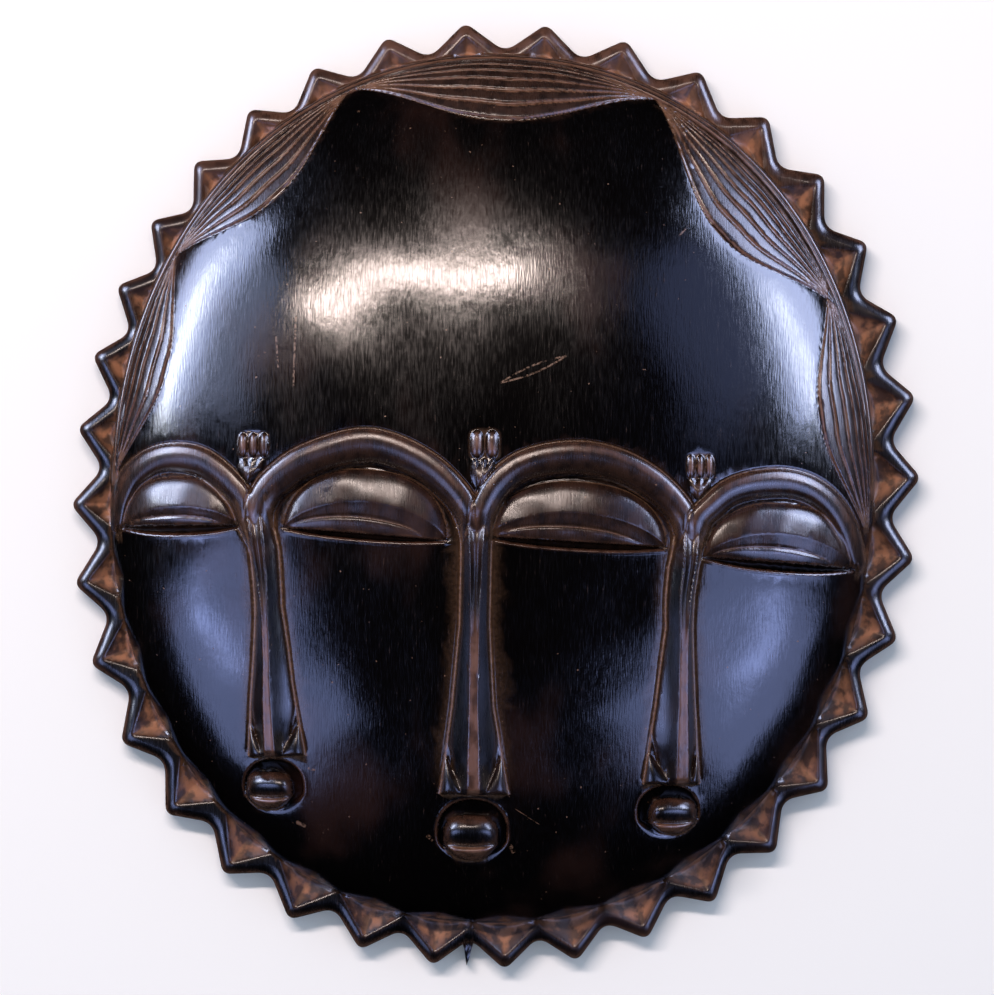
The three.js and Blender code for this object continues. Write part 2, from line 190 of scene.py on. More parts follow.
@dataclass(frozen=True)
class Route:
    """A smooth line through a few points, measured from any place near it."""

    points: tuple[Point, ...]
    steps: int = 10

    def trace(self) -> Array:
        """Dense points along the line.

        Returns:
            An array of places, one row each.
        """
        knots = np.array(self.points, float)
        ends = np.vstack([2 * knots[0] - knots[1], knots, 2 * knots[-1] - knots[-2]])
        t = np.linspace(0.0, 1.0, self.steps, endpoint=False)[:, None]
        rows = []
        for i in range(len(knots) - 1):
            p0, p1, p2, p3 = ends[i], ends[i + 1], ends[i + 2], ends[i + 3]
            rows.append(0.5 * (
                2 * p1 + (p2 - p0) * t + (2 * p0 - 5 * p1 + 4 * p2 - p3) * t**2
                + (3 * p1 - p0 - 3 * p2 + p3) * t**3
            ))
        return np.vstack([*rows, knots[-1:]])

    def length(self) -> float:
        """Length of the line."""
        legs = np.diff(self.trace(), axis=0)
        return float(np.hypot(legs[:, 0], legs[:, 1]).sum())

    def near(self, x: Array, y: Array, reach: float) -> Array:
        """Mask of the places that lie in the line's box grown by reach.

        Args:
            x: places across the mask.
            y: places along the mask.
            reach: how far round the line still counts.

        Returns:
            True for each place in the box.
        """
        line = self.trace()
        low = line.min(axis=0) - reach
        high = line.max(axis=0) + reach
        return (x > low[0]) & (x < high[0]) & (y > low[1]) & (y < high[1])

    def measure(self, x: Array, y: Array) -> tuple[Array, Array]:
        """Finds the nearest spot on the line.

        Args:
            x: places across the mask.
            y: places along the mask.

        Returns:
            The signed distance, positive left of the line's way, and the share of its length.
        """
        line = self.trace()
        legs = np.diff(line, axis=0)
        lengths = np.hypot(legs[:, 0], legs[:, 1])
        starts = np.concatenate([[0.0], np.cumsum(lengths)])
        best = np.full(x.shape, np.inf)
        side = np.zeros_like(best)
        along = np.zeros_like(best)
        for (ax, ay), (lx, ly), length, start in zip(line[:-1], legs, lengths, starts):
            dx, dy = x - ax, y - ay
            t = np.clip((dx * lx + dy * ly) / (length * length), 0.0, 1.0)
            away = np.hypot(dx - t * lx, dy - t * ly)
            closer = away < best
            best = np.where(closer, away, best)
            side = np.where(closer, lx * dy - ly * dx, side)
            along = np.where(closer, start + t * length, along)
        return np.copysign(best, side), along / starts[-1]


@dataclass(frozen=True)
class Dome:
    """The forehead, and the cheeks that lie a little below it."""

    oval: Oval = Oval((-1.4, 2.8), 242.0, 275.5, -3.0)
    seat: float = 9.0
    rise: float = 52.0
    cheek_drop: float = 6.5
    cheek_fullness: float = 2.3

    def forehead(self, x: Array, y: Array) -> Array:
        """Height of the forehead's surface."""
        share = self.oval.share(x, y)
        return self.seat + self.rise * np.sqrt(np.clip(1 - share**2, 0, None))

    def cheeks(self, x: Array, y: Array) -> Array:
        """Height of the cheeks' surface.

        Args:
            x: places across the mask.
            y: places along the mask.

        Returns:
            One height for each place.
        """
        share = self.oval.share(x, y)
        full = np.clip(1 - share**self.cheek_fullness, 0, None)
        return self.seat + (self.rise - self.cheek_drop) * np.sqrt(full)


@dataclass(frozen=True)
class Border:
    """The toothed border: a crest along each tooth, a bevel outside it and a carved pit inside."""

    oval: Oval = Oval((-0.4, 0.6), 268.3, 300.4, -6.7)
    teeth: int = 36
    depth: float = 8.4
    first: float = 2.1
    crest: float = 11.2
    edge: float = 5.6
    bevel: float = 3.6
    tip_round: float = 2.8
    notch_round: float = 3.8
    overshoot: float = 0.65
    pit_setback: float = 3.9
    pit_width: float = 16.6
    pit_slope: float = 0.9
    pit_depth: float = 4.9
    spare_angle: float = 266.3
    spare_reach: float = 149.5
    spare_width: float = 3.6
    wander: tuple[float, ...] = (-0.3, 1.3, -0.3, 2.1, 0.9)
    surely_in: float = 0.42
    surely_out: float = 0.55
    least_pit: float = 3.0
    pit_rough: float = 0.35
    pit_corner: float = 2.2
    pit_lip: float = 0.35
    ripple: float = 0.12

    def tip_angle(self, index: Array) -> Array:
        """Polar angle of a tooth's tip: the spacing drifts a little round the border.

        Args:
            index: numbers of the teeth.

        Returns:
            One angle for each tooth.
        """
        turn = index / self.teeth * math.tau
        waves = (np.cos(turn), np.sin(turn), np.cos(2 * turn), np.sin(2 * turn), np.cos(3 * turn))
        wander = sum(size * wave for size, wave in zip(self.wander, waves))
        return turn + np.radians(self.first + wander)

    def tip(self, index: Array) -> tuple[Array, Array]:
        """Place of a tooth's tip."""
        return self.at(self.tip_angle(index), -self.overshoot)

    def notch(self, index: Array) -> tuple[Array, Array]:
        """Place of the notch after a tooth."""
        middle = (self.tip_angle(index) + self.tip_angle(index + 1)) / 2
        return self.at(middle, self.depth + self.overshoot)

    def at(self, angle: Array, inset: float) -> tuple[Array, Array]:
        """Place on the border's oval at an angle, moved in by an inset."""
        radius = self.oval.radius(angle) - inset
        return self.oval.centre[0] + np.cos(angle) * radius, self.oval.centre[1] + np.sin(angle) * radius

    def tooth_of(self, angle: Array) -> Array:
        """Index of the tooth whose sector holds each polar angle.

        Args:
            angle: polar angles in radians.

        Returns:
            One tooth's number for each angle.
        """
        turn = np.mod(angle, math.tau)
        index = np.round((turn - math.radians(self.first)) / math.tau * self.teeth)
        for _ in range(3):
            after = (self.tip_angle(index) + self.tip_angle(index + 1)) / 2
            before = (self.tip_angle(index - 1) + self.tip_angle(index)) / 2
            index = index + (turn > after) - (turn < before)
        return index

    def _side(self, x: Array, y: Array, start: tuple[Array, Array], end: tuple[Array, Array]) -> Array:
        """Distance inside the line from start to end, which runs anticlockwise."""
        lx, ly = end[0] - start[0], end[1] - start[1]
        return (lx * (y - start[1]) - ly * (x - start[0])) / np.hypot(lx, ly)

    def inside(self, x: Array, y: Array, index: Array) -> Array:
        """Distance of places inside the outline, read at the tooth with that index.

        Args:
            x: places across the mask.
            y: places along the mask.
            index: the tooth of each place.

        Returns:
            The distance, negative outside.
        """
        total = None
        for shift in (-1, 0, 1):
            tooth = index + shift
            tip = self.tip(tooth)
            rising = self._side(x, y, self.notch(tooth - 1), tip)
            falling = self._side(x, y, tip, self.notch(tooth))
            own = smooth_min(rising, falling, self.tip_round)
            total = own if total is None else smooth_max(total, own, self.notch_round)
        return total

    def outline(self, angle: Array) -> Array:
        """Radius from the origin of the toothed outline at polar angles, found by halving.

        Args:
            angle: polar angles in radians.

        Returns:
            One radius for each angle.
        """
        index = self.tooth_of(angle)
        out_x, out_y = np.cos(angle), np.sin(angle)
        low = np.full(angle.shape, self.surely_in * self.oval.width)
        high = np.full(angle.shape, self.surely_out * self.oval.length)
        radius = halve(lambda far: self.inside(out_x * far, out_y * far, index) > 0, low, high, 24)
        return np.maximum(radius, self._spare(angle))

    def _spare(self, angle: Array) -> Array:
        """Radius of the one thin plain tooth that stands between two others at the chin."""
        off = np.abs(np.mod(angle, math.tau) - math.radians(self.spare_angle)) * self.spare_reach
        return self.spare_reach - off * (2.0 * self.depth / self.spare_width)

    def pit(self, x: Array, y: Array, index: Array, dome: Dome) -> Array:
        """Depth of the carved pits, negative outside them.

        Args:
            x: places across the mask.
            y: places along the mask.
            index: the tooth of each place.
            dome: the dome that the pits run up to.

        Returns:
            A depth for each place.
        """
        tip_angle = self.tip_angle(index)
        out_x, out_y = np.cos(tip_angle), np.sin(tip_angle)
        tip = self.at(tip_angle, 0.0)
        along = (tip[0] - x) * out_x + (tip[1] - y) * out_y
        across = np.abs((y - tip[1]) * out_x - (x - tip[0]) * out_y)
        reach = np.hypot(*tip) - dome.oval.radius(tip_angle) - self.pit_setback
        taper = self.pit_width / 2 / np.maximum(reach, self.least_pit)
        wall = ((along - self.pit_setback) * taper - across) / np.sqrt(1 + taper**2)
        floor = self.pit_depth + self.pit_rough * drift(x, y, 6.0, 5)
        return smooth_min(wall * self.pit_slope, floor, self.pit_corner)

    def height(self, x: Array, y: Array, dome: Dome) -> Array:
        """Height of the border's face.

        Args:
            x: places across the mask.
            y: places along the mask.
            dome: the dome that the pits run up to.

        Returns:
            A height for each place.
        """
        angle = np.arctan2(y, x)
        index = self.tooth_of(angle)
        inside = np.clip(self.inside(x, y, index), 0.0, None)
        face = lerp(self.edge, self.crest, dome_curve(1 - np.clip(inside / self.bevel, 0.0, 1.0)))
        face = face + self.ripple * drift(x, y, 14.0, 6)
        pit = smooth_max(self.pit(x, y, index, dome), np.zeros_like(x), self.pit_lip)
        spare = self._spare(angle) - np.hypot(x, y)
        on_spare = (spare > -1.0) & (inside <= 0.3)
        return np.where(on_spare, self.edge, face - pit)


@dataclass(frozen=True)
class BrowArch:
    """One arched ridge over an eye. Its feet run down into the noses beside it."""

    left_foot: tuple[Point, ...]
    arch: tuple[Point, ...]
    right_foot: tuple[Point, ...]
    under: tuple[float, ...]
    crest: float = 2.2
    upper: float = 2.7
    tilt: float = 0.24
    crest_shift: float = 0.6
    foot_fade: float = 13.0
    foot_rise: float = 3.4
    foot_sink: float = 1.3
    under_spots: tuple[float, ...] = (0.0, 0.13, 0.5, 0.87, 1.0)
    belly: float = 1.15
    square: int = 3
    step_sink: float = 0.3
    cut_above: float = 0.55
    cut_below: float = 0.9
    overlap: float = 7.5
    corner: float = 0.4
    rub_highlight_shift: float = 0.7
    rub_highlight_width: float = 1.2

    def route(self) -> Route:
        """The whole line, from the left foot over the arch to the right foot."""
        return Route(self.left_foot + self.arch + self.right_foot)

    def carve(self, x: Array, y: Array, z: Array, forehead: Array, cheeks: Array) -> Array:
        """Lays the arch over a surface.

        Args:
            x: places across the mask.
            y: places along the mask.
            z: heights so far.
            forehead: height of the bare forehead.
            cheeks: height of the bare cheeks.

        Returns:
            The new heights.
        """
        distance, along = self.route().measure(x, y)
        up = distance - self.crest_shift
        fade = self._fade(along)
        crest = lerp(cheeks + self.foot_rise, forehead + self.crest, fade)
        under = np.interp(along, self.under_spots, self.under)
        foot = cheeks - self.foot_sink
        lower = foot + (crest - foot) * dome_curve(np.clip(-up / under, 0, 1) ** self.belly)
        step = np.minimum(forehead, crest) - self.step_sink
        face = crest - self.tilt * np.clip(up, 0, self.upper)
        upper = step + (face - step) * dome_curve(np.clip(up / self.upper, 0, 1) ** self.square)
        z = z - self.cut_above * fade * bump(up - self.upper - 0.3, 0.4)
        z = z - self.cut_below * fade * bump(up + under + 0.2, 0.7)
        z = np.where((up >= 0) & (up < self.upper), np.maximum(z, upper), z)
        low_base = np.where(z > cheeks + self.overlap, cheeks, z)
        return np.where((up < 0) & (up > -under), smooth_max(low_base, lower, self.corner), z)

    def _fade(self, along: Array) -> Array:
        """How high the ridge stands along its line: 0 at its feet, 1 over the arch."""
        return ease(np.minimum(along, 1 - along) * self.route().length() / self.foot_fade)

    def rubbed(self, x: Array, y: Array) -> Array:
        """Where the crest is brown: partly real wear, partly a painted warm highlight of the light from
        above.

        Args:
            x: places across the mask.
            y: places along the mask.

        Returns:
            A share for each place.
        """
        distance, along = self.route().measure(x, y)
        up = distance - self.crest_shift
        return self._fade(along) * bump(up - self.rub_highlight_shift, self.rub_highlight_width)


@dataclass(frozen=True)
class Eye:
    """A closed eye: a faceted lid, a thin inner lid under its edge and a deep slit."""

    left: Point
    right: Point
    lid: float
    arch: float
    slit: float = 2.5
    bulge: float = 4.9
    slit_depth: float = 3.6
    end_square: float = 2.4
    end_full: float = 0.42
    lid_fall: float = 0.42
    lower_fall: float = 0.62
    lens_at: float = 0.45
    lens_reach: float = 0.41
    lens_rise: float = 0.75
    lens_groove: float = 0.35
    sink: float = 0.5
    ripple: float = 0.12
    narrow_end: float = 0.3
    lip: float = 0.25

    def near(self, x: Array, y: Array) -> Array:
        """Mask of the places in a box round the eye."""
        low, high = min(self.left[1], self.right[1]) - 8, max(self.left[1], self.right[1]) + self.lid + 4
        return (x > self.left[0] - 3) & (x < self.right[0] + 3) & (y > low) & (y < high)

    def carve(self, x: Array, y: Array, z: Array, base: Array) -> Array:
        """Adds the lids to a surface and cuts the slit.

        Args:
            x: places across the mask.
            y: places along the mask.
            z: heights so far.
            base: height of the cheeks there.

        Returns:
            The new heights.
        """
        lx, ly = self.right[0] - self.left[0], self.right[1] - self.left[1]
        width = math.hypot(lx, ly)
        dx, dy = x - self.left[0], y - self.left[1]
        share, up = (dx * lx + dy * ly) / width**2, (lx * dy - ly * dx) / width
        off = np.clip(np.abs(2 * share - 1), 0.0, 1.0)
        round_end = 1 - off**self.end_square
        full = round_end**self.end_full
        top = self.lid * np.sqrt(round_end) + TINY
        edge = self.arch * (1 - off**2) ** 0.75 + TINY
        rise = np.clip((up - edge) / np.maximum(top - edge, 0.05), 0.0, 1.0)
        upper = self.bulge * full * (1 - self.lid_fall * rise**1.3) * np.sqrt(1 - rise**8)
        fall = np.clip((edge - up) / edge, 0.0, 1.0)
        lower = self.bulge * full * (1 - self.lower_fall * fall**0.85)
        lens_off = np.clip(np.abs((share - self.lens_at) / self.lens_reach), 0.0, 1.0)
        lens_top = 0.5 * self.arch * (1 - lens_off**2) ** 0.65 + TINY
        lens = np.clip(up / lens_top, 0.0, 2.0)
        swell = dome_curve(np.clip(np.abs(lens - 0.45) / 0.5, 0, 1))
        lower = lower + self.lens_rise * swell * (1 - lens_off**4)
        lower = lower - self.lens_groove * bump(lens - 1.05, 0.14) * (1 - lens_off**4)
        lid = np.where(up > edge, upper, lower) + self.ripple * drift(x, y, 11.0, 8)
        on_eye = (share > 0.0) & (share < 1.0) & (up > 0) & (up < top)
        z = np.where(on_eye, smooth_max(z, base + lid - self.sink, 0.3), z)
        return self._slit(z, base, share, up, off)

    def _slit(self, z: Array, base: Array, share: Array, up: Array, off: Array) -> Array:
        """Cuts the slit under the lids.

        Args:
            z: heights so far.
            base: height of the cheeks there.
            share: share of the way from the left corner to the right.
            up: distance over the line between the corners.
            off: 0 at the eye's middle, 1 at its corners.

        Returns:
            The new heights.
        """
        ends, wide = self.narrow_end, 1 - self.narrow_end
        open_width = self.slit * (ends + wide * (1 - off**2.5))
        within = (share > -0.01) & (share < 1.01) & (up <= 0) & (up > -open_width)
        wall = np.clip(-up / 0.5, 0, 1) * ease((open_width + up) / 0.7)
        depth = self.slit_depth * (ends + wide * (1 - off**self.end_square)) * wall
        z = z + self.lip * bump(up + open_width + 0.5, 0.5) * (share > 0) * (share < 1)
        return np.where(within, base - depth, z)


@dataclass(frozen=True)
class Nose:
    """A long nose. Two ridges start under the brows and close into one flat stripe."""

    route: Route
    left: tuple[float, ...]
    right: tuple[float, ...]
    height: float = 9.0
    stripe: tuple[float, ...] = (3.0, 1.9, 1.35, 1.3, 2.0)
    groove: float = 1.7
    wing_height: float = 4.9
    wing_rise: float = 0.56
    spots: tuple[float, ...] = (0.0, 0.2, 0.42, 0.7, 1.0)
    tip_width: float = 0.7
    tip_from: float = 0.78
    start_height: float = 0.55
    start_length: float = 14.0
    flank_foot: float = 0.16
    tip_foot: float = 0.1
    flank_hollow: float = 0.7
    tip_hollow: float = 1.8
    end_round: float = 2.4
    side_cut: float = 0.5

    def _section(self, x: Array, y: Array) -> tuple[Array, Array, Array, Array]:
        """Measures places against the nose's line.

        Args:
            x: places across the mask.
            y: places along the mask.

        Returns:
            Distance from the line, share of its length, and the half widths of nose and stripe there.
        """
        side, along = self.route.measure(x, y)
        left, right = np.interp(along, self.spots, self.left), np.interp(along, self.spots, self.right)
        return np.abs(side), along, np.where(side > 0, right, left), np.interp(along, self.spots, self.stripe)

    def carve(self, x: Array, y: Array, z: Array, base: Array) -> Array:
        """Adds the nose to a surface.

        Args:
            x: places across the mask.
            y: places along the mask.
            z: heights so far.
            base: height of the cheeks there.

        Returns:
            The new heights.
        """
        out, along, total, stripe = self._section(x, y)
        length = self.route.length()
        half = total * lerp(1.0, self.tip_width, ease((along - self.tip_from) / 0.16))
        stripe = np.minimum(stripe, 0.6 * half)
        high = self.height * (0.82 + 0.18 * along**2 + 0.1 * (1 - along) ** 4)
        high = high * lerp(self.start_height, 1.0, ease(along * length / self.start_length))
        depth = self.groove * (1 - ease((along - 0.22) / 0.28)) + 0.12
        inner = high - depth * (1 - np.clip(out / stripe, 0, 1) ** 2)
        share = np.clip((out - stripe) / np.maximum(half - stripe, 0.1), 0.0, 1.0)
        tip_end = ease((along - 0.84) / 0.1)
        flank = high * lerp(1.0, lerp(self.flank_foot, self.tip_foot, tip_end), share)
        flank = flank - lerp(self.flank_hollow, self.tip_hollow, tip_end) * np.sin(share * math.pi)
        body = np.where(out < stripe, inner, flank) * ease((half - out) / 1.0)
        below = (1 - along) * length
        body = body * dome_curve(1 - np.clip(below / self.end_round, 0, 1))
        tall = self.wing_rise * (self.left[-1] + self.right[-1])
        reach = np.clip((out - stripe) / np.maximum(total - stripe, 0.1), 0.0, 1.0)
        up = np.clip(below / (tall * reach + 0.3), 0.0, 1.0)
        wing = self.wing_height * (1.0 - up**2.2) ** 0.6 * dome_curve(reach**3) * ease(reach / 0.3)
        shape = np.maximum(body, wing * ease(below / 0.8))
        on_nose = (out < total + 1.0) & (along > 0.0) & (along < 1.0) & (shape > 0.0)
        z = z - self.side_cut * bump(out - total - 0.3, 0.6) * ease(along / 0.12) * ease(below / 3.0)
        return np.where(on_nose, smooth_max(z, base + shape, 0.5), z)

    def colour(self, x: Array, y: Array) -> tuple[Array, Array, Array]:
        """Where the stripe is rubbed brown, where dust lies along the nose, and where the nose is.

        Args:
            x: places across the mask.
            y: places along the mask.

        Returns:
            The three marks for each place.
        """
        out, along, total, stripe = self._section(x, y)
        inside = (along > 0.0) & (along < 1.0)
        rubbed = ease((stripe - out) / 0.5 + 0.5) * ease((along - 0.3) / 0.25) * inside
        crease = 0.75 * bump(out - total - 0.15, 0.42) * ease(along / 0.15)
        dust = 0.2 * bump(out - total - 0.5, 1.9) * (out > total - 0.2) * ease((1.0 - along) / 0.2)
        return rubbed, np.maximum(crease, dust) * inside, (out < total + 1.2) & inside & (along > 0.12)


@dataclass(frozen=True)
class Mouth:
    """A round trench with two lips on a block inside it."""

    centre: Point
    width: float
    length: float
    shift: float = 0.0
    height: float = 6.2
    trench: float = 1.9
    roundness: float = 2.2
    squareness: float = 2.9
    wide: float = 0.76
    chin: float = 0.5
    lip: float = 0.9
    parting: float = 1.6
    dimple: float = 0.6
    ring: float = 0.2

    def _place(self, x: Array, y: Array) -> tuple[Array, Array]:
        """Places as shares of the mouth's half width and half length."""
        return (x - self.centre[0]) / (self.width / 2), (y - self.centre[1]) / (self.length / 2)

    def _across(self, u: Array, v: Array) -> Array:
        """Share of the way across the block, which tapers towards the chin."""
        return (u - self.shift) / lerp(self.wide, self.chin, ease((-v - 0.25) / 0.7))

    def carve(self, x: Array, y: Array, z: Array, base: Array) -> Array:
        """Cuts the trench into a surface and adds the lips.

        Args:
            x: places across the mask.
            y: places along the mask.
            z: heights so far.
            base: height of the cheeks there.

        Returns:
            The new heights.
        """
        u, v = self._place(x, y)
        out = (np.abs(u) ** self.roundness + np.abs(v) ** self.roundness) ** (1 / self.roundness)
        trench = -self.trench * ease((1.0 - out) / lerp(0.08, 0.42, ease((-v - 0.2) / 0.5)))
        own = self._across(u, v)
        square = self.squareness
        block = (np.abs(own) ** square + np.abs((v + 0.16) / 0.66) ** square) ** (1 / square)
        body = self.height * dome_curve(np.clip(block, 0, 1) ** 2.0) - 0.5 * own**2
        line = v + 0.38 - 0.09 * own**2
        lips = self.lip * bump(v - 0.02, 0.26) - self.parting * bump(line, 0.055)
        lips = lips + self.lip * bump(line + 0.13, 0.1)
        lips = lips - self.dimple * bump(own, 0.16) * ease((v - 0.22) / 0.14)
        face = body + lips * ease((1 - block) / 0.2) * (np.abs(own) < 1)
        shape = base + np.where(block < 1.0, np.maximum(face, trench), trench)
        z = z + self.ring * bump(out - 1.03, 0.03) * (out >= 1.0) * ease((v + 0.6) / 0.5)
        return np.where(out < 1.0, shape, z)

    def rubbed(self, x: Array, y: Array) -> Array:
        """Where the lips and the block's upper edge are rubbed brown.

        Args:
            x: places across the mask.
            y: places along the mask.

        Returns:
            A share for each place.
        """
        u, v = self._place(x, y)
        own = self._across(u, v)
        lower = bump(v + 0.49 - 0.09 * own**2, 0.12) + 0.55 * bump(v + 0.7, 0.14)
        return (lower + 0.4 * bump(v - 0.36, 0.1)) * ease((0.95 - np.abs(own)) / 0.3)


@dataclass(frozen=True)
class ScarMarks:
    """A row of small upright beads cut over a nose, with thin lozenges below them."""

    centre: Point
    count: int
    pitch: float
    length: float
    foot: Point
    points: int = 3
    height: float = 1.5
    bead_share: float = 0.46
    sink: float = 0.3
    lozenge: float = 1.1

    @property
    def width(self) -> float:
        """Width of the whole row."""
        return self.count * self.pitch

    def carve(self, x: Array, y: Array, z: Array) -> Array:
        """Adds the beads and lozenges to a surface.

        Args:
            x: places across the mask.
            y: places along the mask.
            z: heights so far.

        Returns:
            The new heights.
        """
        middle = (self.count - 1) / 2
        half = self.pitch * self.bead_share
        row = np.abs(x - self.centre[0]) / (self.pitch * (middle + 0.62))
        column = np.abs(y - self.centre[1]) / (self.length * 0.58)
        z = z - self.sink * ease((1.1 - np.hypot(row**2, column**2)) / 0.5)
        for i in range(self.count):
            u = (x - self.centre[0] - (i - middle) * self.pitch) / half
            v = (y - self.centre[1]) / (self.length / 2)
            bead = np.clip(1 - np.abs(u) ** 2 - np.abs(v) ** 3.5, 0, None) ** 0.9
            z = z + (self.height + self.sink) * bead
        for i in range(self.points):
            top_x = self.centre[0] + (i - (self.points - 1) / 2) * self.width / self.points
            top_y = self.centre[1] - self.length * 0.42
            share = (top_y - y) / (top_y - self.foot[1])
            axis = lerp(top_x, self.foot[0], share)
            bow = np.sin(np.clip(share, 0, 1) * math.pi)
            u = (x - axis) / (0.2 + 0.55 * self.width / self.points * bow)
            z = z + self.lozenge * bow * np.clip(1 - np.abs(u), 0, None)
        return z


@dataclass(frozen=True)
class HairBundle:
    """Flat strands parted by grooves, in a lens between two places on the dome's edge."""

    start: float
    end: float
    depth: float
    strands: int
    flat: float = 0.62
    groove: float = 0.88
    crowd: float = 0.75
    wobble: float = 0.07
    edge_cut: float = 0.45

    def carve(self, x: Array, y: Array, dome: Dome, edge: float, height: float) -> Array:
        """Height of the strands above the forehead.

        Args:
            x: places across the mask.
            y: places along the mask.
            dome: the dome that carries the hair.
            edge: latitude in radians where the bundle's outer border lies.
            height: how far a strand stands up.

        Returns:
            A height for each place, 0 away from the bundle.
        """
        u = (x - dome.oval.centre[0]) / (dome.oval.width / 2)
        v = (y - dome.oval.centre[1]) / (dome.oval.length / 2)
        turn = np.degrees(np.arctan2(v, u))
        turn = np.where(turn < -90, turn + 360, turn)
        share = (self.start - turn) / (self.start - self.end)
        latitude = np.arccos(np.clip(np.hypot(u, v), 0.0, 1.0))
        bow = 1.0 - np.abs(2 * np.clip(share, 0.0, 1.0) - 1) ** 2.2
        span = (math.acos(1 - self.depth) - edge) * bow
        reach = (latitude - edge) / np.maximum(span, 1e-4)
        wobble = self.wobble * np.sin(share * 23.0 + self.start) * bow
        phase = np.mod(np.clip(reach + wobble / self.strands, 0, 1) ** self.crowd * self.strands, 1.0)
        off = np.abs(2 * phase - 1)
        wall = ease((off - self.flat) / (1.0 - self.flat))
        strand = 1.0 - (1.0 - self.groove) * off**2 - self.groove * wall
        lift = height * strand * bow**0.35
        border = ease((1.0 - reach) * self.strands / 0.3) * ease(reach * self.strands / 0.3)
        on_bundle = (share > 0) & (share < 1) & (reach > 0) & (reach < 1)
        cut = -self.edge_cut * bump((reach - 1.0) * span * 130.0, 0.7) * (share > 0) * (share < 1)
        return np.where(on_bundle, lift * border, cut)


@dataclass(frozen=True)
class Carving:
    """The whole carved front as one height for each place, and the hollow behind it."""

    dome: Dome
    border: Border
    brows: tuple[BrowArch, ...]
    eyes: tuple[Eye, ...]
    noses: tuple[Nose, ...]
    mouths: tuple[Mouth, ...]
    marks: tuple[ScarMarks, ...]
    bundles: tuple[HairBundle, ...]
    valleys: tuple[Point, ...] = ((-76.5, -4.0), (-6.7, -5.0), (60.4, -8.5))
    hair_edge: float = 0.17
    hair_height: float = 0.95
    strand_height: float = 1.1
    forehead_ripple: float = 0.1
    cheek_ripple: float = 0.14
    rim_wall: float = 17.0
    hollow_height: float = 42.4

    def brow_line(self, x: Array) -> Array:
        """Height up the mask of the line where the forehead ends, for places across it.

        Args:
            x: places across the mask.

        Returns:
            One height up the mask for each place.
        """
        points = [point for brow in self.brows for point in brow.arch]
        points = np.array(sorted(points + list(self.valleys)))
        return np.interp(x, points[:, 0], points[:, 1])

    def front(self, x: Array, y: Array) -> Array:
        """Height of the carved front inside the dome's edge.

        Args:
            x: places across the mask.
            y: places along the mask.

        Returns:
            A height for each place.
        """
        forehead = self.dome.forehead(x, y) + self.forehead_ripple * drift(x, y, 36.0, 3)
        cheeks = self.dome.cheeks(x, y) + self.cheek_ripple * drift(x, y, 26.0, 4)
        above = y > self.brow_line(x)
        high = forehead + self.rim_strands(x, y) + self.hair(x, y)
        for mark in self.marks:
            near = np.hypot(x - mark.centre[0], y - mark.centre[1]) < 2.5 * mark.length
            high[near] = mark.carve(x[near], y[near], high[near])
        z = np.where(above, high, cheeks)
        for eye in self.eyes:
            near = ~above & eye.near(x, y)
            z[near] = eye.carve(x[near], y[near], z[near], cheeks[near])
        for brow in self.brows:
            near = brow.route().near(x, y, 12.0)
            z[near] = brow.carve(x[near], y[near], z[near], forehead[near], cheeks[near])
        for nose in self.noses:
            near = nose.route.near(x, y, 16.0)
            z[near] = nose.carve(x[near], y[near], z[near], cheeks[near])
        for mouth in self.mouths:
            near = np.hypot(x - mouth.centre[0], y - mouth.centre[1]) < mouth.width
            z[near] = mouth.carve(x[near], y[near], z[near], cheeks[near])
        return z

    def hair(self, x: Array, y: Array) -> Array:
        """Height of all the hair above the forehead."""
        return sum(bundle.carve(x, y, self.dome, self.hair_edge, self.hair_height) for bundle in self.bundles)

    def rim_strands(self, x: Array, y: Array) -> Array:
        """Height of the thin strands that follow the dome's edge round the forehead.

        Args:
            x: places across the mask.
            y: places along the mask.

        Returns:
            A height for each place, 0 away from the strands.
        """
        share = self.dome.oval.share(x, y)
        fade = ease((y + 5.0) / 25.0)
        strands = bump(share - 0.981, 0.0035) + bump(share - 0.992, 0.003)
        return self.strand_height * fade * strands

    def height(self, x: Array, y: Array) -> Array:
        """Height of the whole front, border and all.

        Args:
            x: places across the mask.
            y: places along the mask.

        Returns:
            A height for each place.
        """
        within = self.dome.oval.share(x, y) < 1.0
        z = self.border.height(x, y, self.dome)
        z[within] = self.front(x[within], y[within])
        return z


